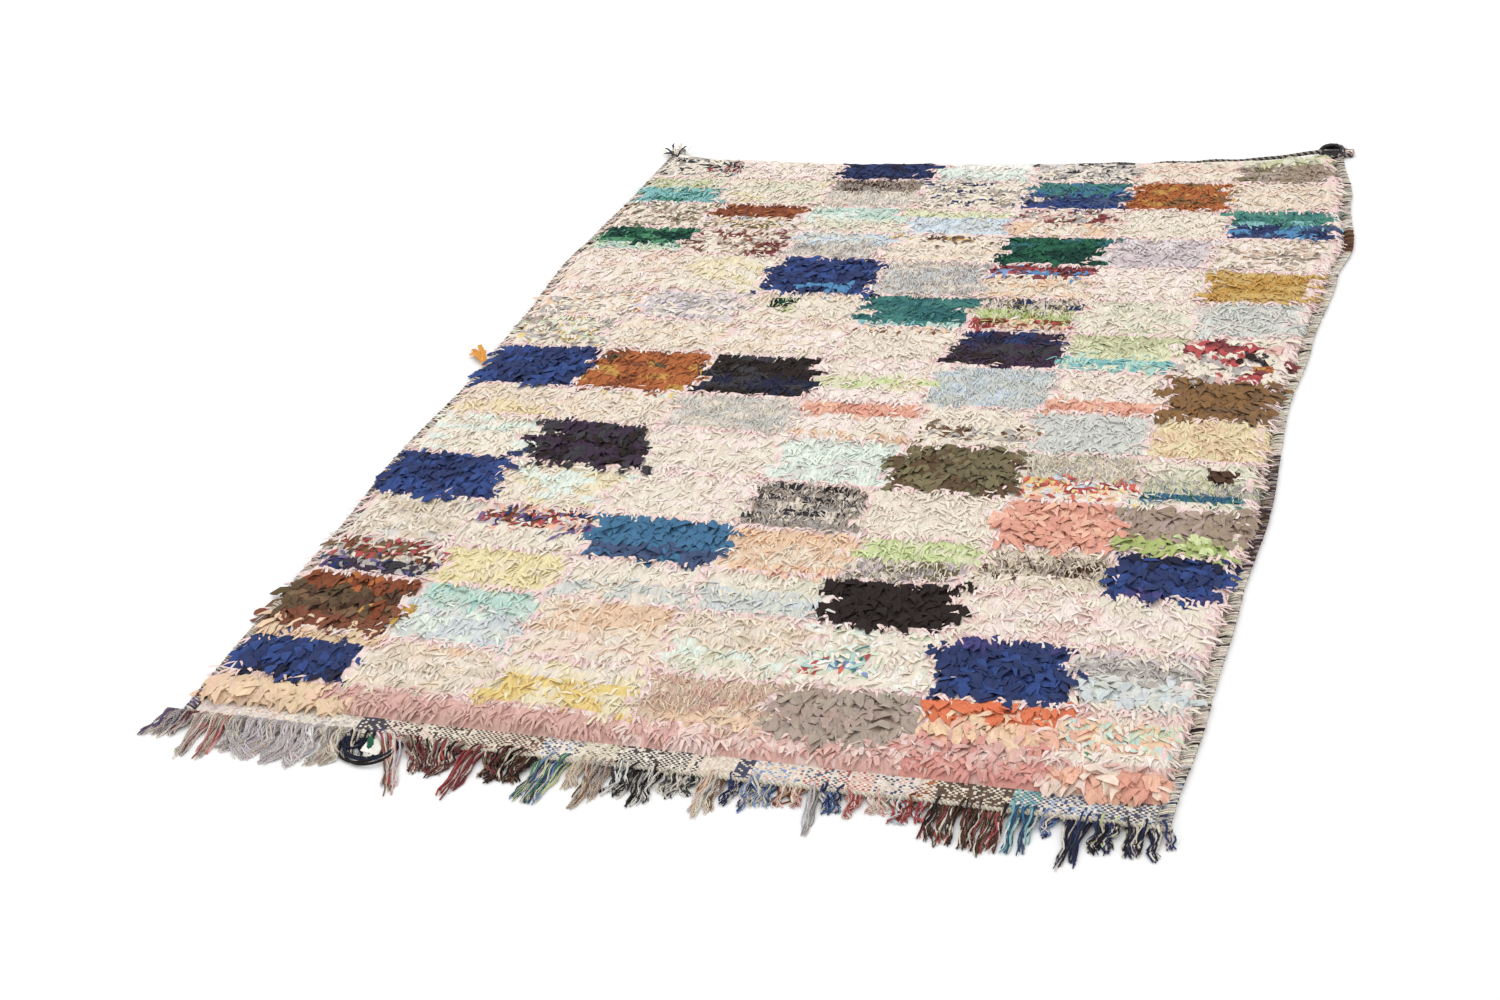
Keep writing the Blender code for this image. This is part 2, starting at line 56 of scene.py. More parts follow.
def camera_axes(place, target, roll):
    """The camera's right, up and back directions: level ones, turned by the roll about the view."""
    back = (place - target) / np.linalg.norm(place - target)
    level = np.cross((0, 0, 1), back)
    level /= np.linalg.norm(level)
    upright = np.cross(back, level)
    right = level * math.cos(roll) + upright * math.sin(roll)
    return right, np.cross(back, right), back


def placed(axes, place):
    """The matrix of an object with these axes at a place."""
    return Matrix(np.vstack((np.column_stack((*axes, place)), (0, 0, 0, 1))))


camera = bpy.data.objects.new("camera", bpy.data.cameras.new("camera"))
camera.data.lens = CAMERA_LENS
camera.data.sensor_width = 36
camera.matrix_world = placed(camera_axes(CAMERA_AT, CAMERA_TARGET, CAMERA_ROLL), CAMERA_AT)
bpy.context.scene.collection.objects.link(camera)
bpy.context.scene.camera = camera
bpy.context.scene.view_settings.view_transform = "Standard"

# A white studio: a pale seamless floor, an even white dome, and one wide soft lamp high over the
# left of the rug, which models the pile without a hard shadow.
FLOOR_HALF = 9.0
FLOOR_DROP = 0.0002
STUDIO_WHITE = 0.92
DOME_STRENGTH = 1.05
LAMP_AT = (-1.0, 1.4, 4.1)
LAMP_SIZE = 3.0
LAMP_POWER = 36


def plain_material(name, colour, roughness):
    """A material of one colour."""
    material = bpy.data.materials.new(name)
    material.use_nodes = True
    shader = material.node_tree.nodes["Principled BSDF"]
    shader.inputs["Base Color"].default_value = (*colour, 1)
    shader.inputs["Roughness"].default_value = roughness
    return material


corners = [(x * FLOOR_HALF, y * FLOOR_HALF, -FLOOR_DROP) for x, y in ((-1, -1), (1, -1), (1, 1), (-1, 1))]
floor_mesh = bpy.data.meshes.new("studio_floor")
floor_mesh.from_pydata(corners, [], [(0, 1, 2, 3)])
floor_mesh.materials.append(plain_material("pale studio floor", [STUDIO_WHITE] * 3, 0.9))
floor = bpy.data.objects.new("studio_floor", floor_mesh)
bpy.context.scene.collection.objects.link(floor)

world = bpy.data.worlds.new("white dome")
world.use_nodes = True
world.node_tree.nodes["Background"].inputs["Color"].default_value = (1, 1, 1, 1)
world.node_tree.nodes["Background"].inputs["Strength"].default_value = DOME_STRENGTH
bpy.context.scene.world = world

lamp = bpy.data.objects.new("soft lamp", bpy.data.lights.new("soft lamp", "AREA"))
lamp.data.shape = "DISK"
lamp.data.size = LAMP_SIZE
lamp.data.energy = LAMP_POWER
lamp.matrix_world = placed(camera_axes(np.array(LAMP_AT), np.zeros(3), 0.0), LAMP_AT)
bpy.context.scene.collection.objects.link(lamp)

# The ground cloth. A cotton weave that the knots are tied on, with their backs showing under it as
# rows of short bars in the colours of the blocks. It is woven in one with the flat band at -Y.
FIELD_LEFT = -0.72
FIELD_NEAR = -1.04
FIELD_LENGTH = 2.15
BLOCKS_ACROSS = 7
GROUND_TOP = 0.0036
GROUND_LOW = 0.0003
KNOT_BACK_RISE = 0.0006
BLOCK_WANDER = 0.7
RUN_OF_KNOTS = 3
LINE_DYES = "linepink linepink palepink pinkcream"
BORDER_LINE_DYES = "rose palepink dustyrose palepink"
KNOTS_ACROSS = 16
KNOT_ROW_PITCH = 0.0205
LINE_ROW_DEPTH = 0.5


def table(columns, *rows):
    """The rows of a table whose columns have names."""
    row_type = namedtuple("Row", columns)
    return tuple(row_type(*row) for row in rows)


EDGES = table(
    "along left right",
    (-0.05, -0.018, 1.450), (0.20, -0.025, 1.466), (0.45, -0.027, 1.476), (0.75, -0.042, 1.492),
    (1.05, -0.030, 1.485), (1.30, -0.038, 1.502), (1.58, -0.055, 1.523), (1.72, -0.045, 1.541),
    (1.95, -0.034, 1.520), (2.20, -0.030, 1.486),
)
FAR_EDGES = table(
    "across along",
    (-0.04, 2.165), (0.10, 2.138), (0.40, 2.116), (0.80, 2.118), (1.10, 2.127), (1.32, 2.146),
    (1.50, 2.186),
)
BLOCK_LINES = table(
    "near far",
    (0.200, 0.166), (0.427, 0.404), (0.675, 0.632), (0.880, 0.866), (1.096, 1.086), (1.288, 1.306),
)

# Each course of blocks, from the near border: where it ends along the rug at its left end, middle
# and right end, and how far its knots hang past the ground on the left
COURSES = table(
    "left middle right hang_left",
    (0.056, 0.040, 0.048, 0.018), (0.187, 0.156, 0.172, 0.027), (0.347, 0.316, 0.312, 0.046),
    (0.455, 0.436, 0.450, 0.028), (0.600, 0.563, 0.565, 0.024), (0.745, 0.711, 0.698, 0.009),
    (0.894, 0.862, 0.850, 0.011), (1.006, 0.999, 0.994, 0.016), (1.169, 1.157, 1.131, 0.018),
    (1.300, 1.295, 1.295, 0.028), (1.425, 1.432, 1.441, 0.026), (1.617, 1.589, 1.574, 0.031),
    (1.742, 1.719, 1.722, 0.013), (1.874, 1.854, 1.867, 0.032), (2.017, 2.002, 2.005, 0.022),
    (2.150, 2.118, 2.170, 0.024),
)

# The rags' colours as they look in daylight once tied, red, green and blue up to 255
DYES = {
    "white": (236, 228, 216), "ivory": (228, 214, 191), "cream": (226, 209, 188),
    "warmcream": (226, 202, 175), "pinkcream": (236, 214, 202), "palepink": (226, 189, 178),
    "linepink": (234, 194, 190), "rose": (208, 154, 142), "dustyrose": (199, 152, 138),
    "deeprose": (207, 131, 120), "peach": (223, 181, 147), "peachpink": (229, 197, 176),
    "sand": (217, 181, 141), "tan": (202, 170, 144), "beige": (206, 188, 162),
    "salmon": (214, 138, 116), "coral": (230, 162, 134), "orange": (231, 182, 142),
    "brightorange": (212, 98, 60), "flame": (224, 138, 46), "rust": (114, 58, 34),
    "rustorange": (160, 84, 40), "redbrown": (109, 61, 43), "brown": (104, 78, 56), "umber": (73, 51, 39),
    "olivebrown": (82, 65, 46), "bronze": (118, 84, 50), "taupe": (154, 137, 123),
    "taupebrown": (140, 120, 102), "mauvetaupe": (156, 132, 121), "mustard": (178, 128, 54),
    "gold": (192, 152, 82), "lemon": (226, 207, 148), "paleyellow": (226, 208, 166),
    "yellow": (222, 186, 106), "sandyellow": (226, 202, 154), "lime": (190, 204, 136),
    "palelime": (210, 210, 164), "limeolive": (152, 166, 92), "olive": (106, 96, 68),
    "khaki": (96, 86, 62), "sage": (182, 183, 138), "palesage": (209, 205, 177),
    "mint": (178, 203, 187), "mintaqua": (160, 200, 186), "palemint": (214, 226, 210),
    "aqua": (110, 170, 169), "teal": (54, 108, 102), "darkteal": (40, 90, 92),
    "tealblue": (52, 95, 130), "denim": (56, 70, 102), "navy": (38, 48, 86),
    "darknavy": (32, 34, 54), "royal": (40, 60, 114), "violet": (58, 54, 104),
    "brightblue": (64, 118, 166), "cornflower": (106, 134, 186), "lightblue": (192, 206, 218),
    "ice": (197, 199, 189), "iceblue": (191, 198, 199), "bluegrey": (186, 188, 190),
    "palebluegrey": (191, 191, 184), "lilac": (200, 188, 198), "palelilac": (216, 203, 204),
    "lilacgrey": (200, 185, 185), "mauve": (190, 172, 176), "grey": (160, 152, 146),
    "palegrey": (204, 196, 186), "charcoal": (52, 50, 54), "black": (38, 31, 30),
    "plum": (54, 40, 56), "purple": (96, 78, 122), "maroon": (112, 52, 54),
    "crimson": (164, 62, 64), "red": (204, 86, 68), "emerald": (32, 82, 60),
    "darkemerald": (20, 54, 46), "green": (66, 122, 88), "palegreen": (196, 208, 174),
    "tealgreen": (66, 124, 110),
}

# Rags in a pile shade and tint each other: this share of the light comes to them straight. Wear and
# washing have drawn every dye this share of the way to its own grey
STRAIGHT_LIGHT = 0.62
WASHED_OUT = 0.10


def to_linear(display):
    """Display colours, 0 to 255, as linear light."""
    share = np.asarray(display, float) / 255
    return np.where(share <= 0.04045, share / 12.92, ((share + 0.055) / 1.055) ** 2.4)


def untied(seen):
    """The linear colour of a rag itself, from that of the pile tied from it: light that bounces on
    between rags is coloured once more each time, so seen = own s / (1 - own (1 - s))."""
    return seen / (STRAIGHT_LIGHT + seen * (1 - STRAIGHT_LIGHT))


def washed(colours):
    """Colours drawn towards their own grey by a share, as wear and washing draw them."""
    grey = colours.mean(axis=1, keepdims=True)
    return colours + (grey - colours) * WASHED_OUT


def dye_numbers(words):
    """The places in the table of the dyes that a line of words names."""
    return np.array([list(DYES).index(word) for word in words.split()])


DYE_COLOURS = washed(untied(to_linear(list(DYES.values()))))
UNDYED = DYE_COLOURS[dye_numbers("beige")]

# The blocks, a row for each course from the near border and seven blocks in each. A block's bands
# of knots are given from its far side, each with its share of the depth, the kind of rag, and its
# dyes, which are taken at random. The kinds are w wide rags, r rag strips, c short rag strips that
# change dye from one to the next, and y yarn
CHART = [course.split(", ") for course in (
    "1w sand peach sand, 1r dustyrose rose, 1r rose dustyrose, 1r palepink rose, 1c palepink rose rose, "
    "1c deeprose rose deeprose deeprose, 1w salmon peachpink coral",
    "1r sand peach/4w navy navy royal/1w darknavy navy, "
    "1r peach warmcream/6r cream warmcream cream beige, "
    "3r paleyellow paleyellow cream/4r yellow yellow paleyellow, "
    "4y tan peach dustyrose beige warmcream/2r tan peach, 1w mauvetaupe taupe/5w taupe taupe mauvetaupe, "
    "2w brightorange orange/2w peach coral orange/2w deeprose rose, "
    "1r palepink cream/3c cream coral mint orange palegreen pinkcream peach/2r cream pinkcream",
    "2w rust rust rustorange/2w olivebrown umber olivebrown/2w umber olivebrown brown/2w redbrown/"
    "1w sand peach, "
    "2r mintaqua mint/4r ice palemint iceblue, 3r peach warmcream/3r warmcream peachpink cream, "
    "3r cream beige warmcream/3r palemint cream palesage, "
    "1c cream ivory cream white cream cream palegreen cream ivory palemint cream white ivory, "
    "1w navy violet/5w navy royal navy, 1r mauve cream/2r grey palegrey/2w iceblue ice/1r cream",
    "3c crimson brown cream grey tan redbrown/3c charcoal navy plum charcoal purple grey, "
    "1r lemon paleyellow lemon, 3r cream ivory pinkcream/3r palebluegrey ice cream, "
    "3r ivory cream palesage/4r ice iceblue ice, 1w black, 1r pinkcream palepink cream, "
    "1r cream ivory pinkcream",
    "1r cream palegrey beige cream, 3c crimson purple coral navy mauve cream redbrown/3r cream ivory, "
    "3w tealblue tealblue/2w denim tealblue denim, 2r orange peach/3r warmcream peach/1r orange coral, "
    "3r lime palelime lime/3y olive cream grey cream mauve, "
    "1r beige cream/3y taupe beige cream umber beige/2r beige cream, "
    "1w darknavy navy/4w royal royal navy/1w violet navy",
    "1w royal navy, 1r cream paleyellow palemint, 1r cream pinkcream ivory, "
    "2y charcoal grey cream taupe black/3y grey taupe cream charcoal/1y taupe grey, "
    "1r ivory cream cream, 1w salmon salmon coral, "
    "3w taupebrown taupebrown mauvetaupe/2w limeolive limeolive lime",
    "1r cream ivory palemint, 1w black plum charcoal, 1r cream ivory pinkcream, "
    "1r palemint palemint ice, 1w khaki olive olivebrown, "
    "3y beige palesage cream grey/3c orange yellow red white lightblue cream crimson, "
    "2r palesage cream/2y palesage grey sage/1y tealblue teal tealblue/1r palesage ivory",
    "3r cream warmcream/3r sandyellow warmcream, "
    "1c cream yellow rust mint cream cream/5r cream warmcream, 1y palebluegrey palegrey cream, "
    "2r coral salmon coral/3r pinkcream cream/1r peach, "
    "3r cream ivory/2c brown beige cream grey cream/1r cream, 1r palebluegrey palebluegrey ice, "
    "1r sandyellow sandyellow sand",
    "1w royal navy, 2r rustorange olivebrown rust/4r rustorange rust mustard rustorange, "
    "3r black charcoal black/2r darknavy charcoal darknavy/1r black, "
    "3r pinkcream cream/2r palelime lime paleyellow/3r pinkcream, 1y iceblue ice lightblue ice, "
    "4r pinkcream cream/2r coral salmon, 1w bronze brown bronze",
    "1c grey palegreen cream yellow taupe cream cream, 1r cream warmcream, 1r warmcream pinkcream cream, "
    "1c rust cream orange cream cream/5r cream, 2r navy darknavy plum/2r plum charcoal/2r black plum, "
    "4r sage sage palelime/2r aqua aqua mintaqua/1r palesage, "
    "1w crimson cream grey maroon cream rose crimson cream",
    "1c cream pinkcream peach cream grey ivory cream, "
    "1c lilacgrey mauve palegrey cream pinkcream grey lilac, 1r cream ivory warmcream, "
    "5r teal teal darkteal/1r aqua mint, "
    "2y navy olive cream cream/2y limeolive lime cream/1c rust orange crimson/1y crimson cream tan cream, "
    "1r palesage cream ivory, 1r ice palegrey palebluegrey",
    "1r peachpink pinkcream cream, 1r cream paleyellow ivory, 1w royal navy navy, "
    "1y palegrey cream grey bluegrey, "
    "1c crimson maroon maroon/1c cornflower brightblue maroon/4r peach warmcream cream, "
    "1r pinkcream cream, 1r gold gold mustard",
    "4r darkemerald emerald green/2r palegreen mint, "
    "1c redbrown cream maroon tan cream cream taupe cream, 2r lightblue ice/3y grey cream palegrey, "
    "2c gold cream brown cream cream/4r cream warmcream, "
    "2r darkemerald darkteal emerald/4r emerald darkemerald darkemerald, 1r lilacgrey mauve palelilac, "
    "1c beige cream taupe cream cream pinkcream tan",
    "1c beige tan cream olive cream ivory taupe cream, "
    "3c redbrown rust rustorange rust/3c tan sandyellow olive cream lilac tan cream, "
    "3r palemint mint/3r cream palesage, 2r palelime cream/4r lightblue iceblue, "
    "3c maroon cream rose grey cream/3r peach orange cream, 1r ivory cream, "
    "2r tealgreen teal/1r aqua tealgreen/3r denim navy brightblue",
    "3r palesage sage/4r aqua aqua tealgreen, 1r cream palesage paleyellow cream, "
    "3y taupebrown grey taupe umber/4y palegrey cream, "
    "1c cream taupe navy cream cream ivory cream grey cream cream ivory, "
    "3r tealblue teal/4r navy denim royal, 1r rustorange rustorange mustard bronze, "
    "1r warmcream cream peachpink",
    "1c grey charcoal cream palegrey cream ivory cream, 1r pinkcream cream, 1r navy darknavy navy, "
    "1r ice white palemint, 1c grey charcoal palegrey cream palegrey grey cream, 1r peachpink cream, "
    "2r palesage sage/4r taupe taupebrown olive taupe",
)]

KINDS = "wrcy"

# Spots where a weaver ran out of a rag and put in another
PATCHES = table(
    "left right near far share kind dyes",
    (-0.03, 0.09, 0.055, 0.090, 0.8, "w", "charcoal darknavy"),
    (0.14, 0.22, 0.235, 0.275, 0.8, "w", "mustard rust"),
    (0.160, 0.192, 0.715, 0.765, 0.9, "w", "navy royal"),
    (1.315, 1.345, 0.058, 0.080, 0.8, "w", "emerald green"),
    (0.89, 0.99, 0.195, 0.260, 0.35, "c", "teal crimson mintaqua cornflower red"),
    (0.96, 1.10, 0.900, 0.935, 0.5, "y", "brown umber grey"),
    (1.40, 1.49, 0.800, 0.840, 0.8, "w", "umber black"),
    (0.49, 0.60, 1.420, 1.480, 0.7, "w", "brightblue"),
    (0.33, 0.40, 1.600, 1.680, 0.7, "y", "maroon redbrown"),
    (0.46, 0.51, 1.340, 1.400, 0.8, "y", "darkemerald lime black"),
    (0.08, 0.17, 2.050, 2.110, 0.5, "y", "black charcoal crimson"),
    (-0.08, 0.01, 2.100, 2.200, 0.6, "y", "black grey white"),
    (1.43, 1.47, 1.165, 1.195, 0.7, "c", "rustorange mustard"),
    (1.405, 1.455, 1.200, 1.235, 0.6, "c", "black charcoal grey"),
)


def eased(rows, column, position):
    """A named column of a table at many positions, eased from row to row along a cosine."""
    keys = np.array([row[0] for row in rows])
    values = np.array([getattr(row, column) for row in rows])
    at = np.clip(position, keys[0], keys[-1])
    before = np.clip(np.searchsorted(keys, at, side="right") - 1, 0, len(keys) - 2)
    share = (at - keys[before]) / (keys[before + 1] - keys[before])
    smooth = 0.5 - 0.5 * np.cos(np.pi * share)
    return values[before] + (values[before + 1] - values[before]) * smooth


def block_line(number, along):
    """Where the lines between blocks lie across the rug: 0 is the left edge, 7 the right edge."""
    near, far = np.array([(0.0, 0.0), *BLOCK_LINES, (0.0, 0.0)]).T
    across = near[number] + (far[number] - near[number]) * (along / FIELD_LENGTH)
    across = np.where(number == 0, eased(EDGES, "left", along), across)
    return np.where(number == BLOCKS_ACROSS, eased(EDGES, "right", along), across)


def course_line(number, share):
    """Where the lines between courses lie along the rug, at a share of its width: straight from the
    left end to the middle and on to the right end. 0 is the near edge and 16 the far edge."""
    left, middle, right = np.array([(0.0, 0.0, 0.0), *(course[:3] for course in COURSES)]).T
    first = left[number] + (middle[number] - left[number]) * share * 2
    second = middle[number] + (right[number] - middle[number]) * (share * 2 - 1)
    corner, far_corner = FAR_EDGES[0].across, FAR_EDGES[-1].across
    far_end = eased(FAR_EDGES, "along", corner + (far_corner - corner) * share)
    return np.where(number == len(COURSES), far_end, np.where(share < 0.5, first, second))


def knot_rows():
    """The rows of knots from the near end: each row's course, and the shares of the course's depth
    where it starts and ends. The first row of a course, the pale line, is shallower than the rest."""
    courses, starts, ends = [], [], []
    begin = 0.0
    for number, course in enumerate(COURSES):
        count = max(2, round((course.middle - begin) / KNOT_ROW_PITCH + 1 - LINE_ROW_DEPTH))
        edges = np.append(0.0, np.arange(count) + LINE_ROW_DEPTH) / (count - 1 + LINE_ROW_DEPTH)
        courses += [number] * count
        starts += list(edges[:-1])
        ends += list(edges[1:])
        begin = course.middle
    return np.array(courses), np.array(starts), np.array(ends)


def knot_place(knot, course, share):
    """Where knots lie on the plan: across by blocks of sixteen knots, along by the course's lines."""
    width_share = knot / (BLOCKS_ACROSS * KNOTS_ACROSS)
    near = course_line(course, width_share)
    along = near + (course_line(course + 1, width_share) - near) * share
    block = np.clip((knot // KNOTS_ACROSS).astype(int), 0, BLOCKS_ACROSS - 1)
    left = block_line(block, along)
    across = left + (block_line(block + 1, along) - left) * (knot / KNOTS_ACROSS - block)
    return across, along


def chart_colours(block, course, share, across, along, pick):
    """The number of the kind of rag and of the dye for places on the chart, where pick, from 0 to 1,
    chooses among the dyes of a band."""
    kind = np.zeros(len(block), int)
    dye = np.zeros(len(block), int)

    def tie(found, letter, words):
        numbers = dye_numbers(words)
        kind[found] = KINDS.index(letter)
        dye[found] = numbers[(pick[found] * len(numbers)).astype(int)]

    for row, blocks in enumerate(CHART):
        for column, text in enumerate(blocks):
            inside = (block == column) & (course == row)
            bands = text.split("/")
            depths = np.cumsum([0] + [int(band[0]) for band in bands])
            for number, band in enumerate(bands):
                far = 1 - depths[number] / depths[-1]
                near = 1 - depths[number + 1] / depths[-1]
                tie(inside & (share <= far) & (share > near), band[1], band[3:])
    for patch in PATCHES:
        inside = (across > patch.left) & (across < patch.right) & (along > patch.near) & (along < patch.far)
        tie(inside & ((pick * 7.3) % 1 < patch.share), patch.kind, patch.dyes)
    return kind, dye


def make_piece(name, points, faces, material, dye, maps, crease=55):
    """A mesh of points and arrays of faces, smooth but for creases sharper than an angle, with dye
    at its points or corners and its UV maps, riding on the body."""
    mesh = bpy.data.meshes.new(name)
    mesh.vertices.add(len(points))
    mesh.vertices.foreach_set("co", np.ascontiguousarray(points, np.float32).ravel())
    corner = np.concatenate([block.ravel() for block in faces]).astype(np.int32)
    sizes = np.concatenate([np.full(len(block), block.shape[1]) for block in faces])
    mesh.loops.add(len(corner))
    mesh.loops.foreach_set("vertex_index", corner)
    mesh.polygons.add(len(sizes))
    mesh.polygons.foreach_set("loop_start", (np.cumsum(sizes) - sizes).astype(np.int32))
    for label, values in maps.items():
        layer = mesh.uv_layers.new(name=label)
        layer.data.foreach_set("uv", np.ascontiguousarray(values, np.float32).ravel())
    domain = "POINT" if len(dye) == len(points) else "CORNER"
    colour = mesh.color_attributes.new("dye", "FLOAT_COLOR", domain)
    rgba = np.column_stack((dye, np.ones(len(dye)))).astype(np.float32)
    colour.data.foreach_set("color", rgba.ravel())
    mesh.update(calc_edges=True)
    mesh.shade_smooth()
    mesh.set_sharp_from_angle(angle=math.radians(crease))
    mesh.materials.append(material)
    piece = bpy.data.objects.new(name, mesh)
    bpy.context.scene.collection.objects.link(piece)
    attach(piece, "root")
    return piece


COTTON_FINISH = {"Roughness": 0.9, "Sheen Weight": 0.02, "Sheen Roughness": 0.6, "Specular IOR Level": 0.03}
THREAD_RUN = (1.0, 0.16, 1.0)
# The range of each noise's tint: worn mottling, plus painted shade where the same noise lowers the bump
MOTTLE_AND_HOLLOW_SHADE_RANGE = {"From Min": 0.3, "From Max": 0.7, "To Min": 0.88, "To Max": 1.08}
PLY_SHARE = 1.6


def add_node(tree, kind, inputs, **settings):
    """The outputs of a new shader node with its settings. Each of its inputs, by name or number,
    takes a value or another node's output."""
    node = tree.nodes.new(kind)
    for key, value in settings.items():
        setattr(node, key, value)
    for key, value in inputs.items():
        if isinstance(value, bpy.types.NodeSocket):
            tree.links.new(value, node.inputs[key])
        else:
            node.inputs[key].default_value = value
    return node.outputs


def rag_material(name, thread, mottle, relief, ply=0):
    """Dyed cotton from the mesh's own dye. Worn mottling and threads, drawn out along the Thread
    map, tint it and, added up, raise it. Because the same noise that marks wear also sets the relief,
    the colour is darker where the surface lies lower: painted shade in the hollows. Yarn has slanting
    plies in its relief as well."""
    material = bpy.data.materials.new(name)
    material.use_nodes = True
    tree = material.node_tree
    shader = tree.nodes["Principled BSDF"]
    for key, value in COTTON_FINISH.items():
        shader.inputs[key].default_value = value

    dye = add_node(tree, "ShaderNodeAttribute", {}, attribute_name="dye")["Color"]
    thread_map = add_node(tree, "ShaderNodeUVMap", {}, uv_map="Thread")["UV"]
    run = add_node(tree, "ShaderNodeMapping", {"Vector": thread_map, "Scale": THREAD_RUN})["Vector"]
    reliefs, tints = [], []
    for scale, detail in ((mottle, 4.0), (thread, 2.0)):
        noise = {"Vector": run, "Scale": scale, "Detail": detail}
        reliefs.append(add_node(tree, "ShaderNodeTexNoise", noise, noise_dimensions="2D")["Fac"])
        spread = {"Value": reliefs[-1], **MOTTLE_AND_HOLLOW_SHADE_RANGE}
        tints.append(add_node(tree, "ShaderNodeMapRange", spread)["Result"])
    # The noises' tints multiplied: the wear's mottling, darker in the relief's hollows as painted shade
    mottle_and_hollow_shade = add_node(tree, "ShaderNodeMath", dict(enumerate(tints)), operation="MULTIPLY")["Value"]
    scaled = {"Vector": dye, "Scale": mottle_and_hollow_shade}
    tinted = add_node(tree, "ShaderNodeVectorMath", scaled, operation="SCALE")["Vector"]
    tree.links.new(tinted, shader.inputs["Base Color"])

    height = add_node(tree, "ShaderNodeMath", dict(enumerate(reliefs)), operation="ADD")["Value"]
    if ply:
        plies = add_node(tree, "ShaderNodeTexWave", {"Vector": thread_map, "Scale": ply},
                         wave_type="BANDS", bands_direction="DIAGONAL")["Fac"]
        joined = {0: plies, 1: PLY_SHARE, 2: height}
        height = add_node(tree, "ShaderNodeMath", joined, operation="MULTIPLY_ADD")["Value"]
    bump = {"Strength": 0.6, "Distance": relief, "Height": height}
    tree.links.new(add_node(tree, "ShaderNodeBump", bump)["Normal"], shader.inputs["Normal"])
    return material


# The shares of knots that are pale on the lines, and at the right and left edges of the field, and
# how far a band's end wanders along the rug, as a share of its course
PALE_ON_LINES = 0.85
PALE_AT_EDGES = (0.6, 0.4)
BAND_WANDER = 0.03
Knots = namedtuple("Knots", "course near far block pick on_line kind dye")


def knots_of_chart(chance):
    """Every knot of the field, a row of them for each row of the rug. Its block wanders a little, so
    that blocks end unevenly, neighbours in a short run share their choice of dye, and the first row
    and the first knot of a block make the pale lines."""
    courses, starts, ends = knot_rows()
    row, knot = np.indices((len(courses), BLOCKS_ACROSS * KNOTS_ACROSS))
    nearest = np.round((knot + 0.5) / KNOTS_ACROSS).astype(int)
    moved = knot + 0.5 + chance.normal(0, BLOCK_WANDER, (len(courses), BLOCKS_ACROSS + 1))[row, nearest]
    block = np.clip(moved // KNOTS_ACROSS, 0, BLOCKS_ACROSS - 1).astype(int)
    between_blocks = (abs(moved - nearest * KNOTS_ACROSS) < 0.5) & (nearest % BLOCKS_ACROSS > 0)
    past_border = courses[row] > 0
    on_line = past_border & ((starts[row] == 0) | between_blocks) & (chance.random(row.shape) < PALE_ON_LINES)
    pale_share = np.select([knot > row.shape[1] - 3, knot == 0], PALE_AT_EDGES, 0)
    on_line |= past_border & (chance.random(row.shape) < pale_share)
    pick = chance.random(row.shape)[row, (knot + 5 * row) // RUN_OF_KNOTS % row.shape[1]]
    middle = (starts + ends)[row] / 2
    share = np.clip(middle + chance.normal(0, BAND_WANDER, row.shape), 0.01, 0.99)
    place = knot_place(knot.ravel() + 0.5, courses[row].ravel(), middle.ravel())
    kind, dye = chart_colours(block.ravel(), courses[row].ravel(), share.ravel(), *place, pick.ravel())
    line_dyes = chance.choice(dye_numbers(LINE_DYES), row.shape)
    kind = np.where(on_line, KINDS.index("r"), kind.reshape(row.shape))
    dye = np.where(on_line, line_dyes, dye.reshape(row.shape))
    return Knots(courses, starts, ends, block, pick, on_line, kind, dye)


def grid_faces(shape):
    """Quads of a grid of points, rows by columns, that face up where rows run along +Y, and the
    grid's rim, once round from its first point."""
    number = np.arange(shape[0] * shape[1]).reshape(shape)
    quads = np.stack((number[:-1, :-1], number[:-1, 1:], number[1:, 1:], number[1:, :-1]), -1).reshape(-1, 4)
    rim = np.concatenate((number[0, :-1], number[:-1, -1], number[-1, :0:-1], number[:0:-1, 0]))
    return quads, rim


def skirt(rim, under):
    """Quads from a grid's rim down to the points under it."""
    return np.stack((np.roll(rim, -1), rim, under, np.roll(under, -1)), -1)


def plan_map(points, faces):
    """The points at the faces' corners, and their places on the plan as shares of its two sides."""
    corner = np.concatenate([block.ravel() for block in faces])
    plan = points[:, :2]
    return corner, (plan[corner] - plan.min(0)) / np.ptp(plan, axis=0)


def ground_sheet(knots):
    """The ground: a closed sheet on the plan, a grid cell for every four knots. Its top is flat, and
    its underside waves up and down from cell to cell, as the backs of the knots do."""
    line_course = np.append(knots.course, len(COURSES) - 1)
    line_share = np.append(knots.near, 1.0)
    row, column = np.indices((len(line_course), knots.dye.shape[1] // 4 + 1))
    across, along = knot_place(4.0 * column, line_course[row], line_share[row])
    plan = np.stack((FIELD_LEFT + across, FIELD_NEAR + along), -1)
    top = np.dstack((plan, np.full(row.shape, GROUND_TOP)))
    low = np.dstack((plan, GROUND_LOW + KNOT_BACK_RISE * ((column + row) % 2)))
    points = np.concatenate((top.reshape(-1, 3), low.reshape(-1, 3)))
    tops, rim = grid_faces(row.shape)
    lows = tops[:, ::-1] + row.size
    faces = (tops, lows, skirt(rim, rim + row.size))

    # The knots' backs show below in the chart's dyes
    shade = np.random.default_rng(4).uniform(0.75, 1.0, (len(lows), 1))
    backs = DYE_COLOURS[knots.dye[:, ::4].ravel()] * shade
    plain, rim_dye = np.tile(UNDYED, (len(tops), 1)), np.tile(UNDYED, (len(rim), 1))
    corner_dye = np.repeat(np.concatenate((plain, backs, rim_dye)), 4, axis=0)
    corner, flat = plan_map(points, faces)
    bake = flat * (0.49, 0.98)
    bake[tops.size:tops.size + lows.size, 0] += 0.5
    return points, faces, corner_dye, {"OFBake": bake, "Thread": points[corner, :2]}


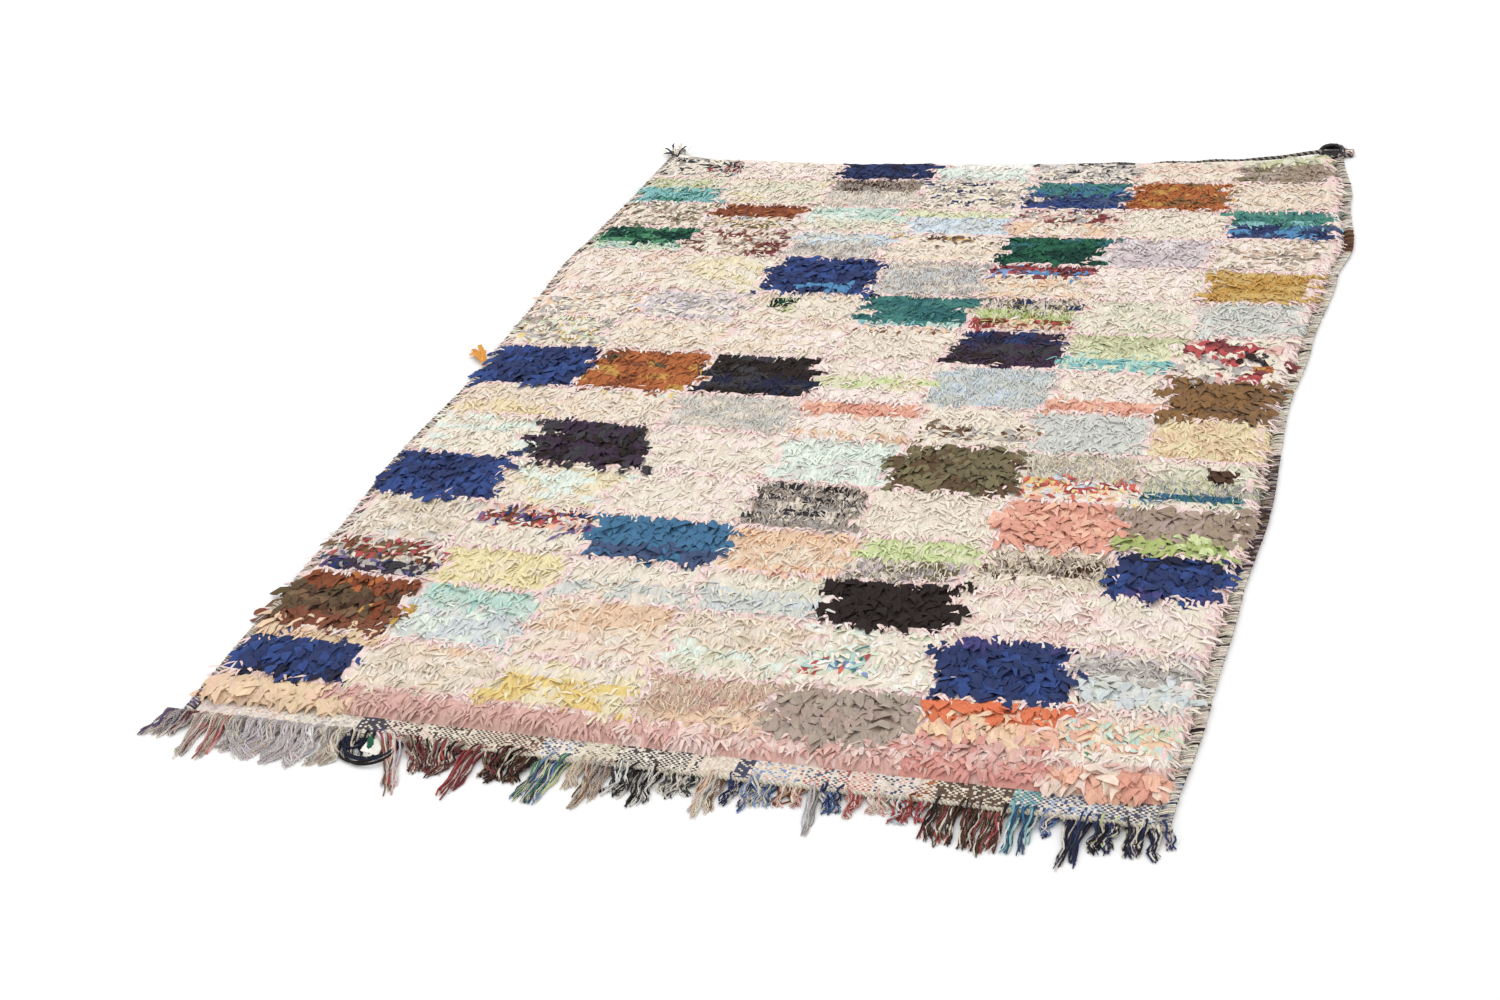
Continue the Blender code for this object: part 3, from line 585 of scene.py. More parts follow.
knots = knots_of_chart(np.random.default_rng(3))
points, faces, dye, maps = ground_sheet(knots)
ground_weave = rag_material("cotton ground weave", thread=420, mottle=60, relief=0.0010)
ground = make_piece("ground_cloth", points, faces, ground_weave, dye, maps)
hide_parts("knotted_rug")

# The bed of the pile. Knots packed row on row, with the lower halves of their rags, fill the first
# half of the pile's depth, so that the bed between the strips shows their own dyes.
BED_TOP = 0.0158
BED_LUMP = 0.0012
BED_SLOPE = 0.013
BED_STEPS = 2
SIDE_STEP = 0.35
END_STEPS = (0.25, 0.15)
BED_ROUGHNESS = 0.0006
BED_LAP = 0.0002


def bed_height(across, along):
    """The height of the bed: slow waves about its top, eased down to the ground within the slope's
    width of the field's edges."""
    share = (across - FAR_EDGES[0].across) / (FAR_EDGES[-1].across - FAR_EDGES[0].across)
    far = course_line(np.full(np.shape(across), len(COURSES)), np.clip(share, 0, 1))
    from_sides = np.minimum(across - eased(EDGES, "left", along), eased(EDGES, "right", along) - across)
    inside = np.minimum(from_sides, np.minimum(0.4 * along, far - along))
    rise = np.sin(np.pi / 2 * np.clip(inside / BED_SLOPE, 0, 1))
    waves = np.sin(47 * across + 3 * np.sin(19 * along)) * np.sin(61 * along + 2 * np.sin(23 * across))
    return GROUND_TOP + (BED_TOP - GROUND_TOP) * rise + BED_LUMP * waves * rise


def packed_bed(knots, chance):
    """A closed body: its top is a grid with a step for each knot and two for each row, on the bed's
    height with a little roughness, and a flat bottom closes it on the ground."""
    rows, columns = knots.dye.shape
    knot = np.concatenate(([0, SIDE_STEP], np.arange(1, columns), [columns - SIDE_STEP, columns]))
    step = np.arange(rows * BED_STEPS) / BED_STEPS
    step = np.concatenate(([0, END_STEPS[0]], step[1:], [rows - END_STEPS[1], rows]))
    row = np.minimum(step.astype(int), rows - 1)
    share = knots.near[row] + (knots.far - knots.near)[row] * (step - row)
    line, column = np.indices((len(step), len(knot)))
    across, along = knot_place(knot[column], knots.course[row][line], share[line])
    rough = chance.normal(0, BED_ROUGHNESS, across.shape)
    rough[[0, -1]] = rough[:, [0, -1]] = 0
    top = np.dstack((FIELD_LEFT + across, FIELD_NEAR + along, bed_height(across, along) + BED_LAP + rough))
    tops, rim = grid_faces(across.shape)
    low = top.reshape(-1, 3)[rim] * (1, 1, 0) + (0, 0, GROUND_TOP - BED_LAP)
    under = across.size + np.arange(len(rim))
    points = np.concatenate((top.reshape(-1, 3), low))
    cell_knot = np.minimum(((knot[:-1] + knot[1:]) / 2).astype(int), columns - 1)
    cell_row = np.minimum(((step[:-1] + step[1:]) / 2).astype(int), rows - 1)
    tints = DYE_COLOURS[knots.dye[cell_row[:, None], cell_knot[None]].ravel()]
    corner_dye = np.concatenate((np.repeat(tints, 4, axis=0), np.tile(UNDYED, (5 * len(rim), 1))))
    faces = (tops, skirt(rim, under), under[None, ::-1])
    corner, flat = plan_map(points, faces)
    return points, faces, corner_dye, {"OFBake": flat, "Thread": points[corner, :2]}


packed_rag = rag_material("packed rag pile", thread=420, mottle=90, relief=0.0030)
points, faces, dye, maps = packed_bed(knots, np.random.default_rng(7))
bed = make_piece("packed_bed", points, faces, packed_rag, dye, maps)
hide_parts("knotted_rug")

# The rag pile. Strips torn from worn clothes are tied on in rows, several to a knot. Each rises from
# its knot, bends over and falls towards the near end, so that the rows lie over each other.
ROOT_DEPTH = 0.0015
VISIBLE_SHIFT = 0.011
PILE_LIMIT = 0.0315
BORDER_WIDENING = 1.6
PILE_LEAN = 0.20
EDGE_MARGIN = 0.003
# Painted light at the tips: the factor on a strip's dye there, over the painted shade at its root
TIP_PAINTED_LIGHT = 1.03

# Strips sway to the side, gather at the knot and twist more towards the tip than they roll
SWAY = (0.004, 0.0015)
GATHERED = 0.65
TWIST = 1.4
LOWEST = 0.0012

# By the near edge strips start further in and droop more. By the sides they turn outwards, get
# narrower and shorter, and lie lower
NEAR_EDGE_DEPTH = 0.025
NEAR_EDGE_SHIFT = 0.008
NEAR_EDGE_DROOP = 0.7
SIDE_STRETCH = 0.022
TURN_RIGHT = (0.3, 1.1)
TURN_LEFT = (0.9, 1.7)
LESS_AT_RIGHT = 0.35
LESS_AT_LEFT = 0.6
HANG_SHARE = 0.45
SIDE_SINK = 0.25
SIDE_DROOP = 0.35

# For each kind of rag: strips to a knot, how far a root may lie off its row, the least and most of
# the width, of the length and of the arch (the rise of the strip's middle over its edges), the
# angles at which it lifts and droops, the spread of headings, the crumpling, the widths of torn
# tips, how ragged they are, how far strips roll, the painted shade at the root (the dye's factor
# there, below the tip's painted light, as if the depth of the pile shaded it), and rings along the strip
Rag = namedtuple("Rag", "strips wander width length arch lift droop spread crumple tips torn roll root rings")
RAGS = (
    Rag(2.75, 0.010, (0.008, 0.019), (0.024, 0.038), (0.00, 0.06), 0.36, 0.20, 0.52, 0.0012,
        (0.4, 0.7, 1.0), 0.34, 0.09, 0.98, 4),
    Rag(4.0, 0.009, (0.0034, 0.0068), (0.022, 0.034), (0.02, 0.09), 0.36, 0.22, 0.58, 0.0003,
        (0.1, 0.4, 0.7), 0.16, 0.06, 1.01, 3),
    Rag(3.0, 0.008, (0.0055, 0.0095), (0.018, 0.028), (0.03, 0.12), 0.42, 0.20, 0.65, 0.0004,
        (0.5, 0.8, 1.0), 0.16, 0.10, 0.99, 3),
    Rag(5.0, 0.008, (0.0018, 0.0034), (0.020, 0.030), (0.24, 0.42), 0.62, 0.28, 0.36, 0.0003,
        (0.3, 0.7), 0.10, 0.16, 0.96, 3),
)


def bent_strips(root, heading, length, width, lift, droop, arch, rag, section, chance):
    """Rag strips as rings of points, one array for all.

    A strip leaves its root at the angle lift above the floor and bends evenly until it points down
    by droop at its tip: a point whose angle is a lies length / (lift + droop) times (sin lift - sin
    a) out along the heading and times (cos a - cos lift) up. The section's points are set across
    and over that line, rolled and twisted about it, gathered at the knot and torn at the tip.
    """
    count, rings = len(length), rag.rings
    column = (count, 1)
    along = np.linspace(0, 1, rings)[None, :]
    angle = lift[:, None] - (lift + droop)[:, None] * along
    bend = (length / (lift + droop))[:, None]
    out = bend * (np.sin(lift)[:, None] - np.sin(angle))
    up = bend * (np.cos(angle) - np.cos(lift)[:, None])
    sway = chance.normal(0, SWAY[0], column) * along**2
    sway = sway + chance.normal(0, SWAY[1], column) * np.sin(6 * along)

    ahead = np.stack((np.sin(heading), -np.cos(heading), np.zeros(count)), -1)[:, None]
    side = np.stack((np.cos(heading), np.sin(heading), np.zeros(count)), -1)[:, None]
    rise = np.array((0.0, 0.0, 1.0))
    centre = root[:, None] + ahead * out[..., None] + rise * up[..., None] + side * sway[..., None]
    run = ahead * np.cos(angle)[..., None] + rise * np.sin(angle)[..., None]
    normal = rise * np.cos(angle)[..., None] - ahead * np.sin(angle)[..., None]
    roll = chance.normal(0, rag.roll, column) + chance.normal(0, TWIST * rag.roll, column) * along
    over = normal * np.cos(roll)[..., None] - side * np.sin(roll)[..., None]
    beside = side * np.cos(roll)[..., None] + normal * np.sin(roll)[..., None]

    at_tip = along > 0.99
    gathered = GATHERED + (1 - GATHERED) * np.sin(np.pi * np.clip(along * 1.6, 0, 1) / 2)
    breadth = width[:, None] * np.where(at_tip, chance.choice(rag.tips, column), gathered)

    offsets = np.array(section)
    torn = chance.normal(0, rag.torn, (count, 1, len(offsets))) * at_tip[..., None]
    rough = chance.normal(0, rag.crumple, (count, rings, len(offsets))) * np.minimum(along * 3, 1)[..., None]
    across = offsets[:, 0] / 2 * breadth[..., None]
    above = offsets[:, 1] * arch[:, None, None] * breadth[..., None] + offsets[:, 2] + rough
    forward = torn * width[:, None, None]
    points = (centre[:, :, None] + beside[:, :, None] * across[..., None]
              + over[:, :, None] * above[..., None] + run[:, :, None] * forward[..., None])
    points[..., 2] = np.clip(points[..., 2], LOWEST, PILE_LIMIT)
    return points


def tube_faces(count, rings, around):
    """Quads between the rings of each strip, and a face that closes each end."""
    number = np.arange(count * rings * around).reshape(count, rings, around)
    here, there = number[:, :-1], number[:, 1:]
    quads = np.stack((here, np.roll(here, -1, 2), np.roll(there, -1, 2), there), -1)
    return quads.reshape(-1, 4), number[:, 0, ::-1], number[:, -1]


def tube_maps(width, length, rings, around, chance):
    """The corners' places on two maps: OFBake, a cell for each strip with the turns round it side
    by side and its two ends apart, and Thread, in metres round and along the strip."""
    count = len(length)
    turn = np.arange(around)
    ring = np.arange(rings - 1)
    u = np.stack((turn, turn + 1, turn + 1, turn), -1)[None, None] / around
    v = np.stack((ring, ring, ring + 1, ring + 1), -1)[None, :, None] / (rings - 1)
    u, v = np.broadcast_arrays(u, v)
    shape = (count, rings - 1, around, 4)
    u, v = np.broadcast_to(u, shape), np.broadcast_to(v, shape)
    side = math.ceil(math.sqrt(count))
    cell = np.stack((np.arange(count) % side, np.arange(count) // side), -1) / side
    body = np.stack((0.04 + u * 0.92, 0.10 + v * 0.80), -1) / side + cell[:, None, None, None]
    ring_angle = 2 * np.pi * turn / around
    ends = np.stack((0.5 + 0.4 * np.cos(ring_angle), 0.05 + 0.03 * np.sin(ring_angle)), -1)
    start_cap = ends[None] / side + cell[:, None]
    end_cap = (ends[None] + (0, 0.90)) / side + cell[:, None]
    bake = np.concatenate([part.reshape(-1, 2) for part in (body, start_cap, end_cap)])
    offset = chance.uniform(0, 20, (count, 2))
    metres = np.stack((u * 2 * width[:, None, None, None], v * length[:, None, None, None]), -1)
    metres = metres + offset[:, None, None, None]
    ends_at = np.broadcast_to(offset[:, None], (count, around, 2))
    thread = np.concatenate([part.reshape(-1, 2) for part in (metres, ends_at, ends_at)])
    return {"OFBake": bake, "Thread": thread}


# Sections of a strip, as (across, arch, thickness) points round it: a wide rag is a thin sheet
# creased along its middle, and a strip or yarn is folded over along its middle
WIDE_SECTION = ((-1.0, 0.0, 0.0), (0.1, 0.9, -0.0011), (1.0, 0.0, 0.0), (0.05, 0.95, 0.0))
FOLDED_SECTION = ((-1.0, 0.0, 0.0), (1.0, 0.0, 0.0), (0.0, 1.0, 0.0))


def of_rags(column, kind):
    """A column of the rags' table for strips of many kinds."""
    return np.array([getattr(rag, column) for rag in RAGS])[kind]


def tied_strips(knots, chance):
    """Every strip of the field: its row's course, its place, kind and dye. Each knot's width is
    shared out among its strips."""
    row, knot = [part.ravel() for part in np.indices(knots.dye.shape)]
    count = np.floor(of_rags("strips", knots.kind.ravel()) + chance.random(len(row))).astype(int)
    number = np.arange(count.sum()) - np.repeat(np.cumsum(count) - count, count)
    row, knot, count = [np.repeat(part, count) for part in (row, knot, count)]
    part = (number + chance.uniform(0.1, 0.9, len(row))) / count
    middle = (knots.near + knots.far)[row] / 2
    across, along = knot_place(knot + part, knots.course[row], middle)
    kind, on_line = knots.kind[row, knot], knots.on_line[row, knot]
    share = np.clip(middle + chance.normal(0, 0.05, len(row)), 0.01, 0.99)
    own_choice = (kind > KINDS.index("r")) | (chance.random(len(row)) < 0.25)
    pick = np.where(own_choice, chance.random(len(row)), knots.pick[row, knot])
    dye = chart_colours(knots.block[row, knot], knots.course[row], share, across, along, pick)[1]
    line_dyes = np.array([dye_numbers(LINE_DYES), dye_numbers(BORDER_LINE_DYES)])
    past_border = (knots.course[row] == 1) & (knots.near[row] == 0)
    line_dye = line_dyes[past_border.astype(int), chance.choice(line_dyes.shape[1], len(row))]
    along += chance.uniform(-1, 1, len(row)) * of_rags("wander", kind) * ~on_line
    return knots.course[row], across, along, kind, np.where(on_line, line_dye, dye)


def pile_piece(name, kinds, course, across, along, kind, dye, chance):
    """One piece of the pile: all strips of one section in a stretch of the field."""
    section = WIDE_SECTION if kinds == "w" else FOLDED_SECTION
    around, count = len(section), len(dye)
    rag = RAGS[KINDS.index(kinds[0])]
    left, right = eased(EDGES, "left", along), eased(EDGES, "right", along)
    x = np.clip(across, left + EDGE_MARGIN, right - EDGE_MARGIN)
    y = np.minimum(along + VISIBLE_SHIFT, eased(FAR_EDGES, "along", x) - EDGE_MARGIN)
    at_near_edge = np.clip(1 - along / NEAR_EDGE_DEPTH, 0, 1)
    y = y + NEAR_EDGE_SHIFT * at_near_edge
    root = np.stack((FIELD_LEFT + x, FIELD_NEAR + y, bed_height(x, y) - ROOT_DEPTH), -1)

    # Strips near a side edge turn outwards over its binding, on the left as far as that course hangs
    hang = np.array([row.hang_left for row in COURSES])[course]
    near_left = np.clip(1 - (x - left) / SIDE_STRETCH, 0, 1)
    near_right = np.clip(1 - (right - x) / SIDE_STRETCH, 0, 1)
    barely_hanging = np.clip((SIDE_STRETCH - hang) / SIDE_STRETCH, 0, 1)
    heading = chance.normal(PILE_LEAN, of_rags("spread", kind))
    turned_right, turned_left = chance.uniform(*TURN_RIGHT, count), chance.uniform(*TURN_LEFT, count)
    heading += near_right * turned_right - near_left * turned_left
    length, width, arch = [chance.uniform(*of_rags(column, kind).T) for column in ("length", "width", "arch")]
    width = width * (1 - LESS_AT_RIGHT * near_right)
    width = width * np.where((course == 0) & (x < BLOCK_LINES[0].near), BORDER_WIDENING, 1.0)
    length = (length * (1 - LESS_AT_RIGHT * near_right - LESS_AT_LEFT * near_left * barely_hanging)
              + near_left * hang * (near_left > near_right) * HANG_SHARE)
    length *= 1 + 0.07 * np.sin(x * 31 + 2.0) * np.cos(y * 27) + 0.05 * np.sin(x * 67 - y * 59)
    lift = chance.normal(of_rags("lift", kind), 0.15) - SIDE_SINK * (near_left + near_right)
    droop = np.clip(chance.normal(of_rags("droop", kind), 0.16), 0.05, 1.2)
    droop = droop + SIDE_DROOP * (near_left + near_right) + NEAR_EDGE_DROOP * at_near_edge
    points = bent_strips(root, heading, length, width, lift, droop, arch, rag, section, chance)

    # Each strip has its own shade of its dye at random. Painted shade darkens it towards its root, deep
    # in the pile, and painted light makes it a little paler at its tip
    tone = chance.normal(1.0, 0.03, (count, 1)) * chance.normal(1.0, 0.015, (count, 3))
    painted_depth_shade = np.linspace(rag.root, TIP_PAINTED_LIGHT, rag.rings)
    colour = DYE_COLOURS[dye] * np.clip(tone, 0.7, 1.3)
    colour = colour[:, None, None] * painted_depth_shade[None, :, None, None] * np.ones((1, 1, around, 1))
    maps = tube_maps(width, length, rag.rings, around, chance)
    return make_piece(
        name, points.reshape(-1, 3), tube_faces(count, rag.rings, around), rag_cotton,
        np.clip(colour, 0, 0.9).reshape(-1, 3), maps, crease=32)


rag_cotton = rag_material("torn cotton rag", thread=480, mottle=110, relief=0.0008)
chance = np.random.default_rng(15)
course, across, along, kind, dye = tied_strips(knots, chance)
PILE_STRETCHES = (
    ("wide_rags_near", "w", 0, 7), ("wide_rags_far", "w", 8, 15), ("rag_strips_near", "rc", 0, 5),
    ("rag_strips_middle", "rc", 6, 10), ("rag_strips_far", "rc", 11, 15), ("yarn_knots_near", "y", 0, 8),
    ("yarn_knots_far", "y", 9, 15),
)
for name, kinds, first, last in PILE_STRETCHES:
    chosen = np.isin(kind, [KINDS.index(letter) for letter in kinds]) & (course >= first) & (course <= last)
    pile_piece(
        name, kinds, course[chosen], across[chosen], along[chosen], kind[chosen], dye[chosen], chance)


# The flat-woven band past the pile. Plain weave in mixed yarn, coarse enough that each crossing
# shows: warp and weft pass over each other in turn, so light and dark dots alternate.
BAND_WIDTH = 0.044
BAND_TOP = 0.0040
BAND_WARPS = 360
BAND_WEFTS = 13
FLOAT_RISE = 0.0010
BAND_LINT = 0.08
YARNS_BLUR = 0.004
SLIPPED = 0.10

# Stretches of the band from the left: where each ends, and the yarns of its warp and its weft
BAND_YARNS = table(
    "end warp weft",
    (0.06, "palelilac cream mauve", "cream palepink"), (0.14, "palelilac cream rose", "cream"),
    (0.26, "palelilac cream grey", "cream ivory"), (0.308, "darknavy black navy", "darknavy cream"),
    (0.335, "black cream charcoal", "cream palepink"), (0.400, "umber black rose cream", "cream"),
    (0.480, "umber black brown", "cream"), (0.570, "umber maroon black", "cream beige"),
    (0.625, "cornflower white navy", "cream"), (0.690, "olive sage beige", "cream"),
    (0.805, "black charcoal black", "cream white"), (0.868, "beige tan cream", "cream"),
    (0.895, "navy darknavy", "cream navy"), (0.960, "cornflower cream rose", "cream"),
    (1.035, "denim crimson cream", "cream"), (1.070, "deeprose crimson rose", "cream"),
    (1.135, "palelilac rose navy", "cream"), (1.155, "rustorange rust", "cream"),
    (1.262, "umber black umber", "cream beige umber"), (1.304, "tealblue denim teal", "cream aqua"),
    (1.380, "denim navy cornflower", "cream bluegrey"), (1.520, "navy charcoal denim", "cream bluegrey"),
)


def woven_band():
    """A closed cloth whose top is a grid with two steps to each crossing: the middle of a crossing
    stands up by a float's rise, its edges lie half as low, and its corners lowest."""
    columns, rows = 2 * BAND_WARPS, 2 * BAND_WEFTS
    warp, weft = np.meshgrid(np.arange(columns + 1), np.arange(rows + 1))
    along = -BAND_WIDTH * (1 - weft / rows)
    left, right = eased(EDGES, "left", along), eased(EDGES, "right", along)
    across = left + (right - left) * warp / columns
    chance = np.random.default_rng(5)
    middles = (warp % 2) + (weft % 2)
    over = ((warp // 2 + weft // 2) % 2) * 0.3
    rise = FLOAT_RISE * ((middles == 2) * (1.0 + over) + (middles == 1) * 0.25)
    sway = 0.0005 * np.sin(across * 90 + weft) + chance.normal(0, 0.00012, warp.shape)
    top = np.dstack((FIELD_LEFT + across, FIELD_NEAR + along + sway * (weft > 0), BAND_TOP + rise))
    near = top[0] * (1, 1, 0) + (0, 0, GROUND_LOW)
    far = top[-1] * (1, 1, 0) + (0, 0, GROUND_LOW)
    points = np.concatenate((top.reshape(-1, 3), near, far))
    grid = np.arange(top.shape[0] * top.shape[1]).reshape(top.shape[:2])
    low_near = grid.size + np.arange(columns + 1)
    low_far = low_near + columns + 1
    tops = grid_faces(grid.shape)[0]
    fronts = np.stack((low_near[:-1], low_near[1:], grid[0, 1:], grid[0, :-1]), -1)
    backs = np.stack((low_far[1:], low_far[:-1], grid[-1, :-1], grid[-1, 1:]), -1)
    unders = np.stack((low_near[1:], low_near[:-1], low_far[:-1], low_far[1:]), -1)
    left_end = np.concatenate(([low_far[0], low_near[0]], grid[:, 0]))[None]
    right_end = np.concatenate(([low_near[-1], low_far[-1]], grid[::-1, -1]))[None]

    # Each crossing shows the yarn that is on top there
    cell_warp, cell_weft = warp[:-1, :-1].ravel() // 2, weft[:-1, :-1].ravel() // 2
    number = cell_weft * BAND_WARPS + cell_warp
    middle = (np.arange(BAND_WARPS) + 0.5) / BAND_WARPS * (EDGES[0].right - EDGES[0].left) + EDGES[0].left
    blurred = middle + chance.normal(0, YARNS_BLUR, BAND_WARPS)
    stretch = np.searchsorted([row.end for row in BAND_YARNS], blurred).clip(0, len(BAND_YARNS) - 1)
    dye = np.zeros((BAND_WEFTS, BAND_WARPS), int)
    turn = (np.arange(BAND_WEFTS)[:, None] + np.arange(BAND_WARPS)[None]) % 2
    turn = np.where(chance.random(turn.shape) < SLIPPED, 1 - turn, turn)
    for place, row in enumerate(BAND_YARNS):
        for side, words in ((1, row.warp), (0, row.weft)):
            found = (stretch[None] == place) & (turn == side)
            dye[found] = chance.choice(dye_numbers(words), found.sum())
    tints = DYE_COLOURS[dye.ravel()] * chance.normal(0.98, 0.07, (dye.size, 1))
    tints = np.clip(tints + (UNDYED - tints) * BAND_LINT, 0, 0.92)[number]
    rest = 4 * (len(fronts) + len(backs) + len(unders)) + left_end.size + right_end.size
    corner_dye = np.concatenate((np.repeat(tints, 4, axis=0), np.tile(UNDYED * 0.9, (rest, 1))))
    faces = (tops, fronts, backs, unders, left_end, right_end)
    corner, flat = plan_map(points, faces)
    bake = flat * (1.0, 0.46)
    bake[tops.size:, 1] += 0.52
    return points, faces, corner_dye, {"OFBake": bake, "Thread": points[corner, :2]}


points, faces, dye, maps = woven_band()
band_weave = rag_material("mixed yarn band weave", thread=900, mottle=220, relief=0.0006)
band = make_piece("woven_band", points, faces, band_weave, dye, maps)
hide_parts("knotted_rug")

# The overcast edges. Rag yarn in cream, black, navy and brown is wound over the outer warps, one
# wrap close to the next, and leans a little along the edge.
BINDING_GAP = 0.0004
BINDING_WIDTH = 0.0225
BINDING_HEIGHT = 0.0078
WRAP_PITCH = 0.0033
WRAP_YARN = 0.0014
WRAP_LEAN = 0.0045
WRAP_RINGS = 7
WRAP_FROM, WRAP_TO = -0.55 * np.pi, 1.5 * np.pi
WRAP_SCATTER = 0.0006
WRAP_CLEARANCE = 0.0007

# Stretches of each edge from the near end: where each ends and the yarns wound there
LEFT_WRAPS = table(
    "end dyes",
    (0.06, "plum maroon cream grey purple"), (0.52, "cream grey brown palegrey beige"),
    (0.92, "taupebrown cream umber grey cream"), (2.30, "cream grey palegrey brown black cream"),
)
RIGHT_WRAPS = table(
    "end dyes",
    (0.05, "navy cream bluegrey cream"), (0.40, "cream cream beige black cream cream grey cream"),
    (0.56, "cream charcoal cream taupebrown cream"), (0.90, "taupebrown charcoal mauve umber taupe plum"),
    (1.70, "cream beige palesage cream black cream palegrey cream"), (1.80, "brown redbrown umber"),
    (2.30, "cream grey cream beige charcoal cream"),
)


def yarn_tubes(paths, radius, around, reference):
    """Round tubes along many paths at once. Each ring stands square to its path, and its first
    point lies along the path's run crossed with the reference direction."""
    run = np.gradient(paths, axis=1)
    run /= np.linalg.norm(run, axis=-1, keepdims=True)
    side = np.cross(run, reference)
    side /= np.linalg.norm(side, axis=-1, keepdims=True)
    over = np.cross(side, run)
    turn = 2 * np.pi * np.arange(around) / around
    reach = np.asarray(radius)[..., None, None] if np.ndim(radius) else radius
    ring = side[:, :, None] * np.cos(turn)[:, None] + over[:, :, None] * np.sin(turn)[:, None]
    return paths[:, :, None] + ring * reach


def yarn_piece(name, points, dye, thickness, material, chance, tone=0.10):
    """A piece of many yarns, each with its own shade of its dye, or of a dye for each of its rings."""
    count, rings, around = points.shape[:3]
    steps = np.linalg.norm(np.diff(points.mean(2), axis=1), axis=-1)
    maps = tube_maps(np.full(count, thickness * 3), steps.sum(1), rings, around, chance)
    shade = chance.normal(1.0, tone, (count, 1, 1)) * chance.normal(1.0, 0.03, (count, 1, 3))
    dye = np.broadcast_to(dye.reshape(count, -1), (count, rings))
    colour = np.clip(DYE_COLOURS[dye] * np.clip(shade, 0.6, 1.3), 0, 0.9)
    spread = np.broadcast_to(colour[:, :, None], (count, rings, around, 3)).reshape(-1, 3)
    faces = tube_faces(count, rings, around)
    return make_piece(name, points.reshape(-1, 3), faces, material, spread, maps, crease=80)


def wound_dyes(rows, along, chance):
    """A dye for each place along an edge from the stretch that it lies in."""
    stretch = np.searchsorted([row.end for row in rows], along).clip(0, len(rows) - 1)
    dye = np.zeros(len(along), int)
    for number, row in enumerate(rows):
        found = stretch == number
        dye[found] = chance.choice(dye_numbers(row.dyes), found.sum())
    return dye


def wound_edge(name, side, rows, seed):
    """The wraps of one edge: closed turns round a flat oval core, one for each step along."""
    chance = np.random.default_rng(seed)
    far = float(course_line(np.array(len(COURSES)), np.array(0.0 if side < 0 else 1.0)))
    along = np.arange(WRAP_PITCH / 2 - BAND_WIDTH, far, WRAP_PITCH)
    along = along + chance.normal(0, WRAP_SCATTER, len(along))
    edge = eased(EDGES, "left" if side < 0 else "right", along)
    swell = chance.normal(1.0, 0.05, len(along))[:, None]
    turn = np.linspace(WRAP_FROM, WRAP_TO, WRAP_RINGS)[None]
    half_width = BINDING_WIDTH / 2 * swell - WRAP_YARN
    half_height = BINDING_HEIGHT / 2 * swell - WRAP_YARN
    middle = FIELD_LEFT + edge[:, None] + side * (BINDING_GAP + BINDING_WIDTH / 2)
    x = middle + half_width * np.cos(turn)
    y = FIELD_NEAR + along[:, None] + WRAP_LEAN * np.cos(turn) * side
    z = WRAP_YARN + WRAP_CLEARANCE + half_height * (1 + np.sin(turn))
    radius = WRAP_YARN * chance.normal(1.0, 0.12, len(along)).clip(0.7, 1.3)[:, None]
    tubes = yarn_tubes(np.stack((x, y, z), -1), radius * np.ones((1, WRAP_RINGS)), 3, (0.0, 1.0, 0.0))
    dye = wound_dyes(rows, np.repeat(along, WRAP_RINGS), chance).reshape(-1, WRAP_RINGS)
    dye = np.where(chance.random(dye.shape) < 0.5, dye[:, :1], dye)
    piece = yarn_piece(name, tubes, dye, WRAP_YARN, spun_yarn, chance)
    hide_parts(name.replace("_wraps", "_selvedge"))
    return piece


spun_yarn = rag_material("spun rag yarn", thread=1400, mottle=260, relief=0.0012, ply=160)
left_wraps = wound_edge("left_wraps", -1, LEFT_WRAPS, 21)
right_wraps = wound_edge("right_wraps", 1, RIGHT_WRAPS, 22)

# The near cord. Two cream yarns are twined round each other along the band's edge and over the warp
# ends, which they hold and which leave below them as the fringe.
CORD_FROM = -0.042
CORD_TO = 1.474
CORD_BACK = FIELD_NEAR - BAND_WIDTH - BINDING_GAP
CORD_RADIUS = 0.0020
CORD_STRAND = 0.0021
CORD_TWIST = 0.013
CORD_STEPS = 6
CORD_OVER_ENDS = 0.0036
CORD_SET_OUT = 0.0046
CORD_SWAY = 0.0012


def twined(x, y, z, radius, strand, twist, around):
    """Two strands wound about a line along X: each lies at the radius, half a turn from the
    other, and goes once round in the length of a twist."""
    turn = 2 * np.pi * x[None] / twist + np.array((0.0, np.pi))[:, None]
    x = np.broadcast_to(x, turn.shape)
    paths = np.stack((x, y + radius * np.cos(turn), z + radius * np.sin(turn)), -1)
    return yarn_tubes(paths, strand, around, (0.0, 0.0, 1.0))


chance = np.random.default_rng(31)
cord_x = np.arange(CORD_FROM, CORD_TO, CORD_TWIST / CORD_STEPS)
cord_sway = CORD_SWAY * np.sin(cord_x * 23) * np.sin(cord_x * 7)
cord = twined(
    FIELD_LEFT + cord_x, CORD_BACK - CORD_SET_OUT + cord_sway, CORD_RADIUS + CORD_STRAND + CORD_OVER_ENDS,
    CORD_RADIUS, CORD_STRAND, CORD_TWIST, 6)
near_cord = yarn_piece(
    "near_cord", cord, dye_numbers("cream beige"), CORD_STRAND, spun_yarn, chance, 0.02)
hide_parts("near_fringe")

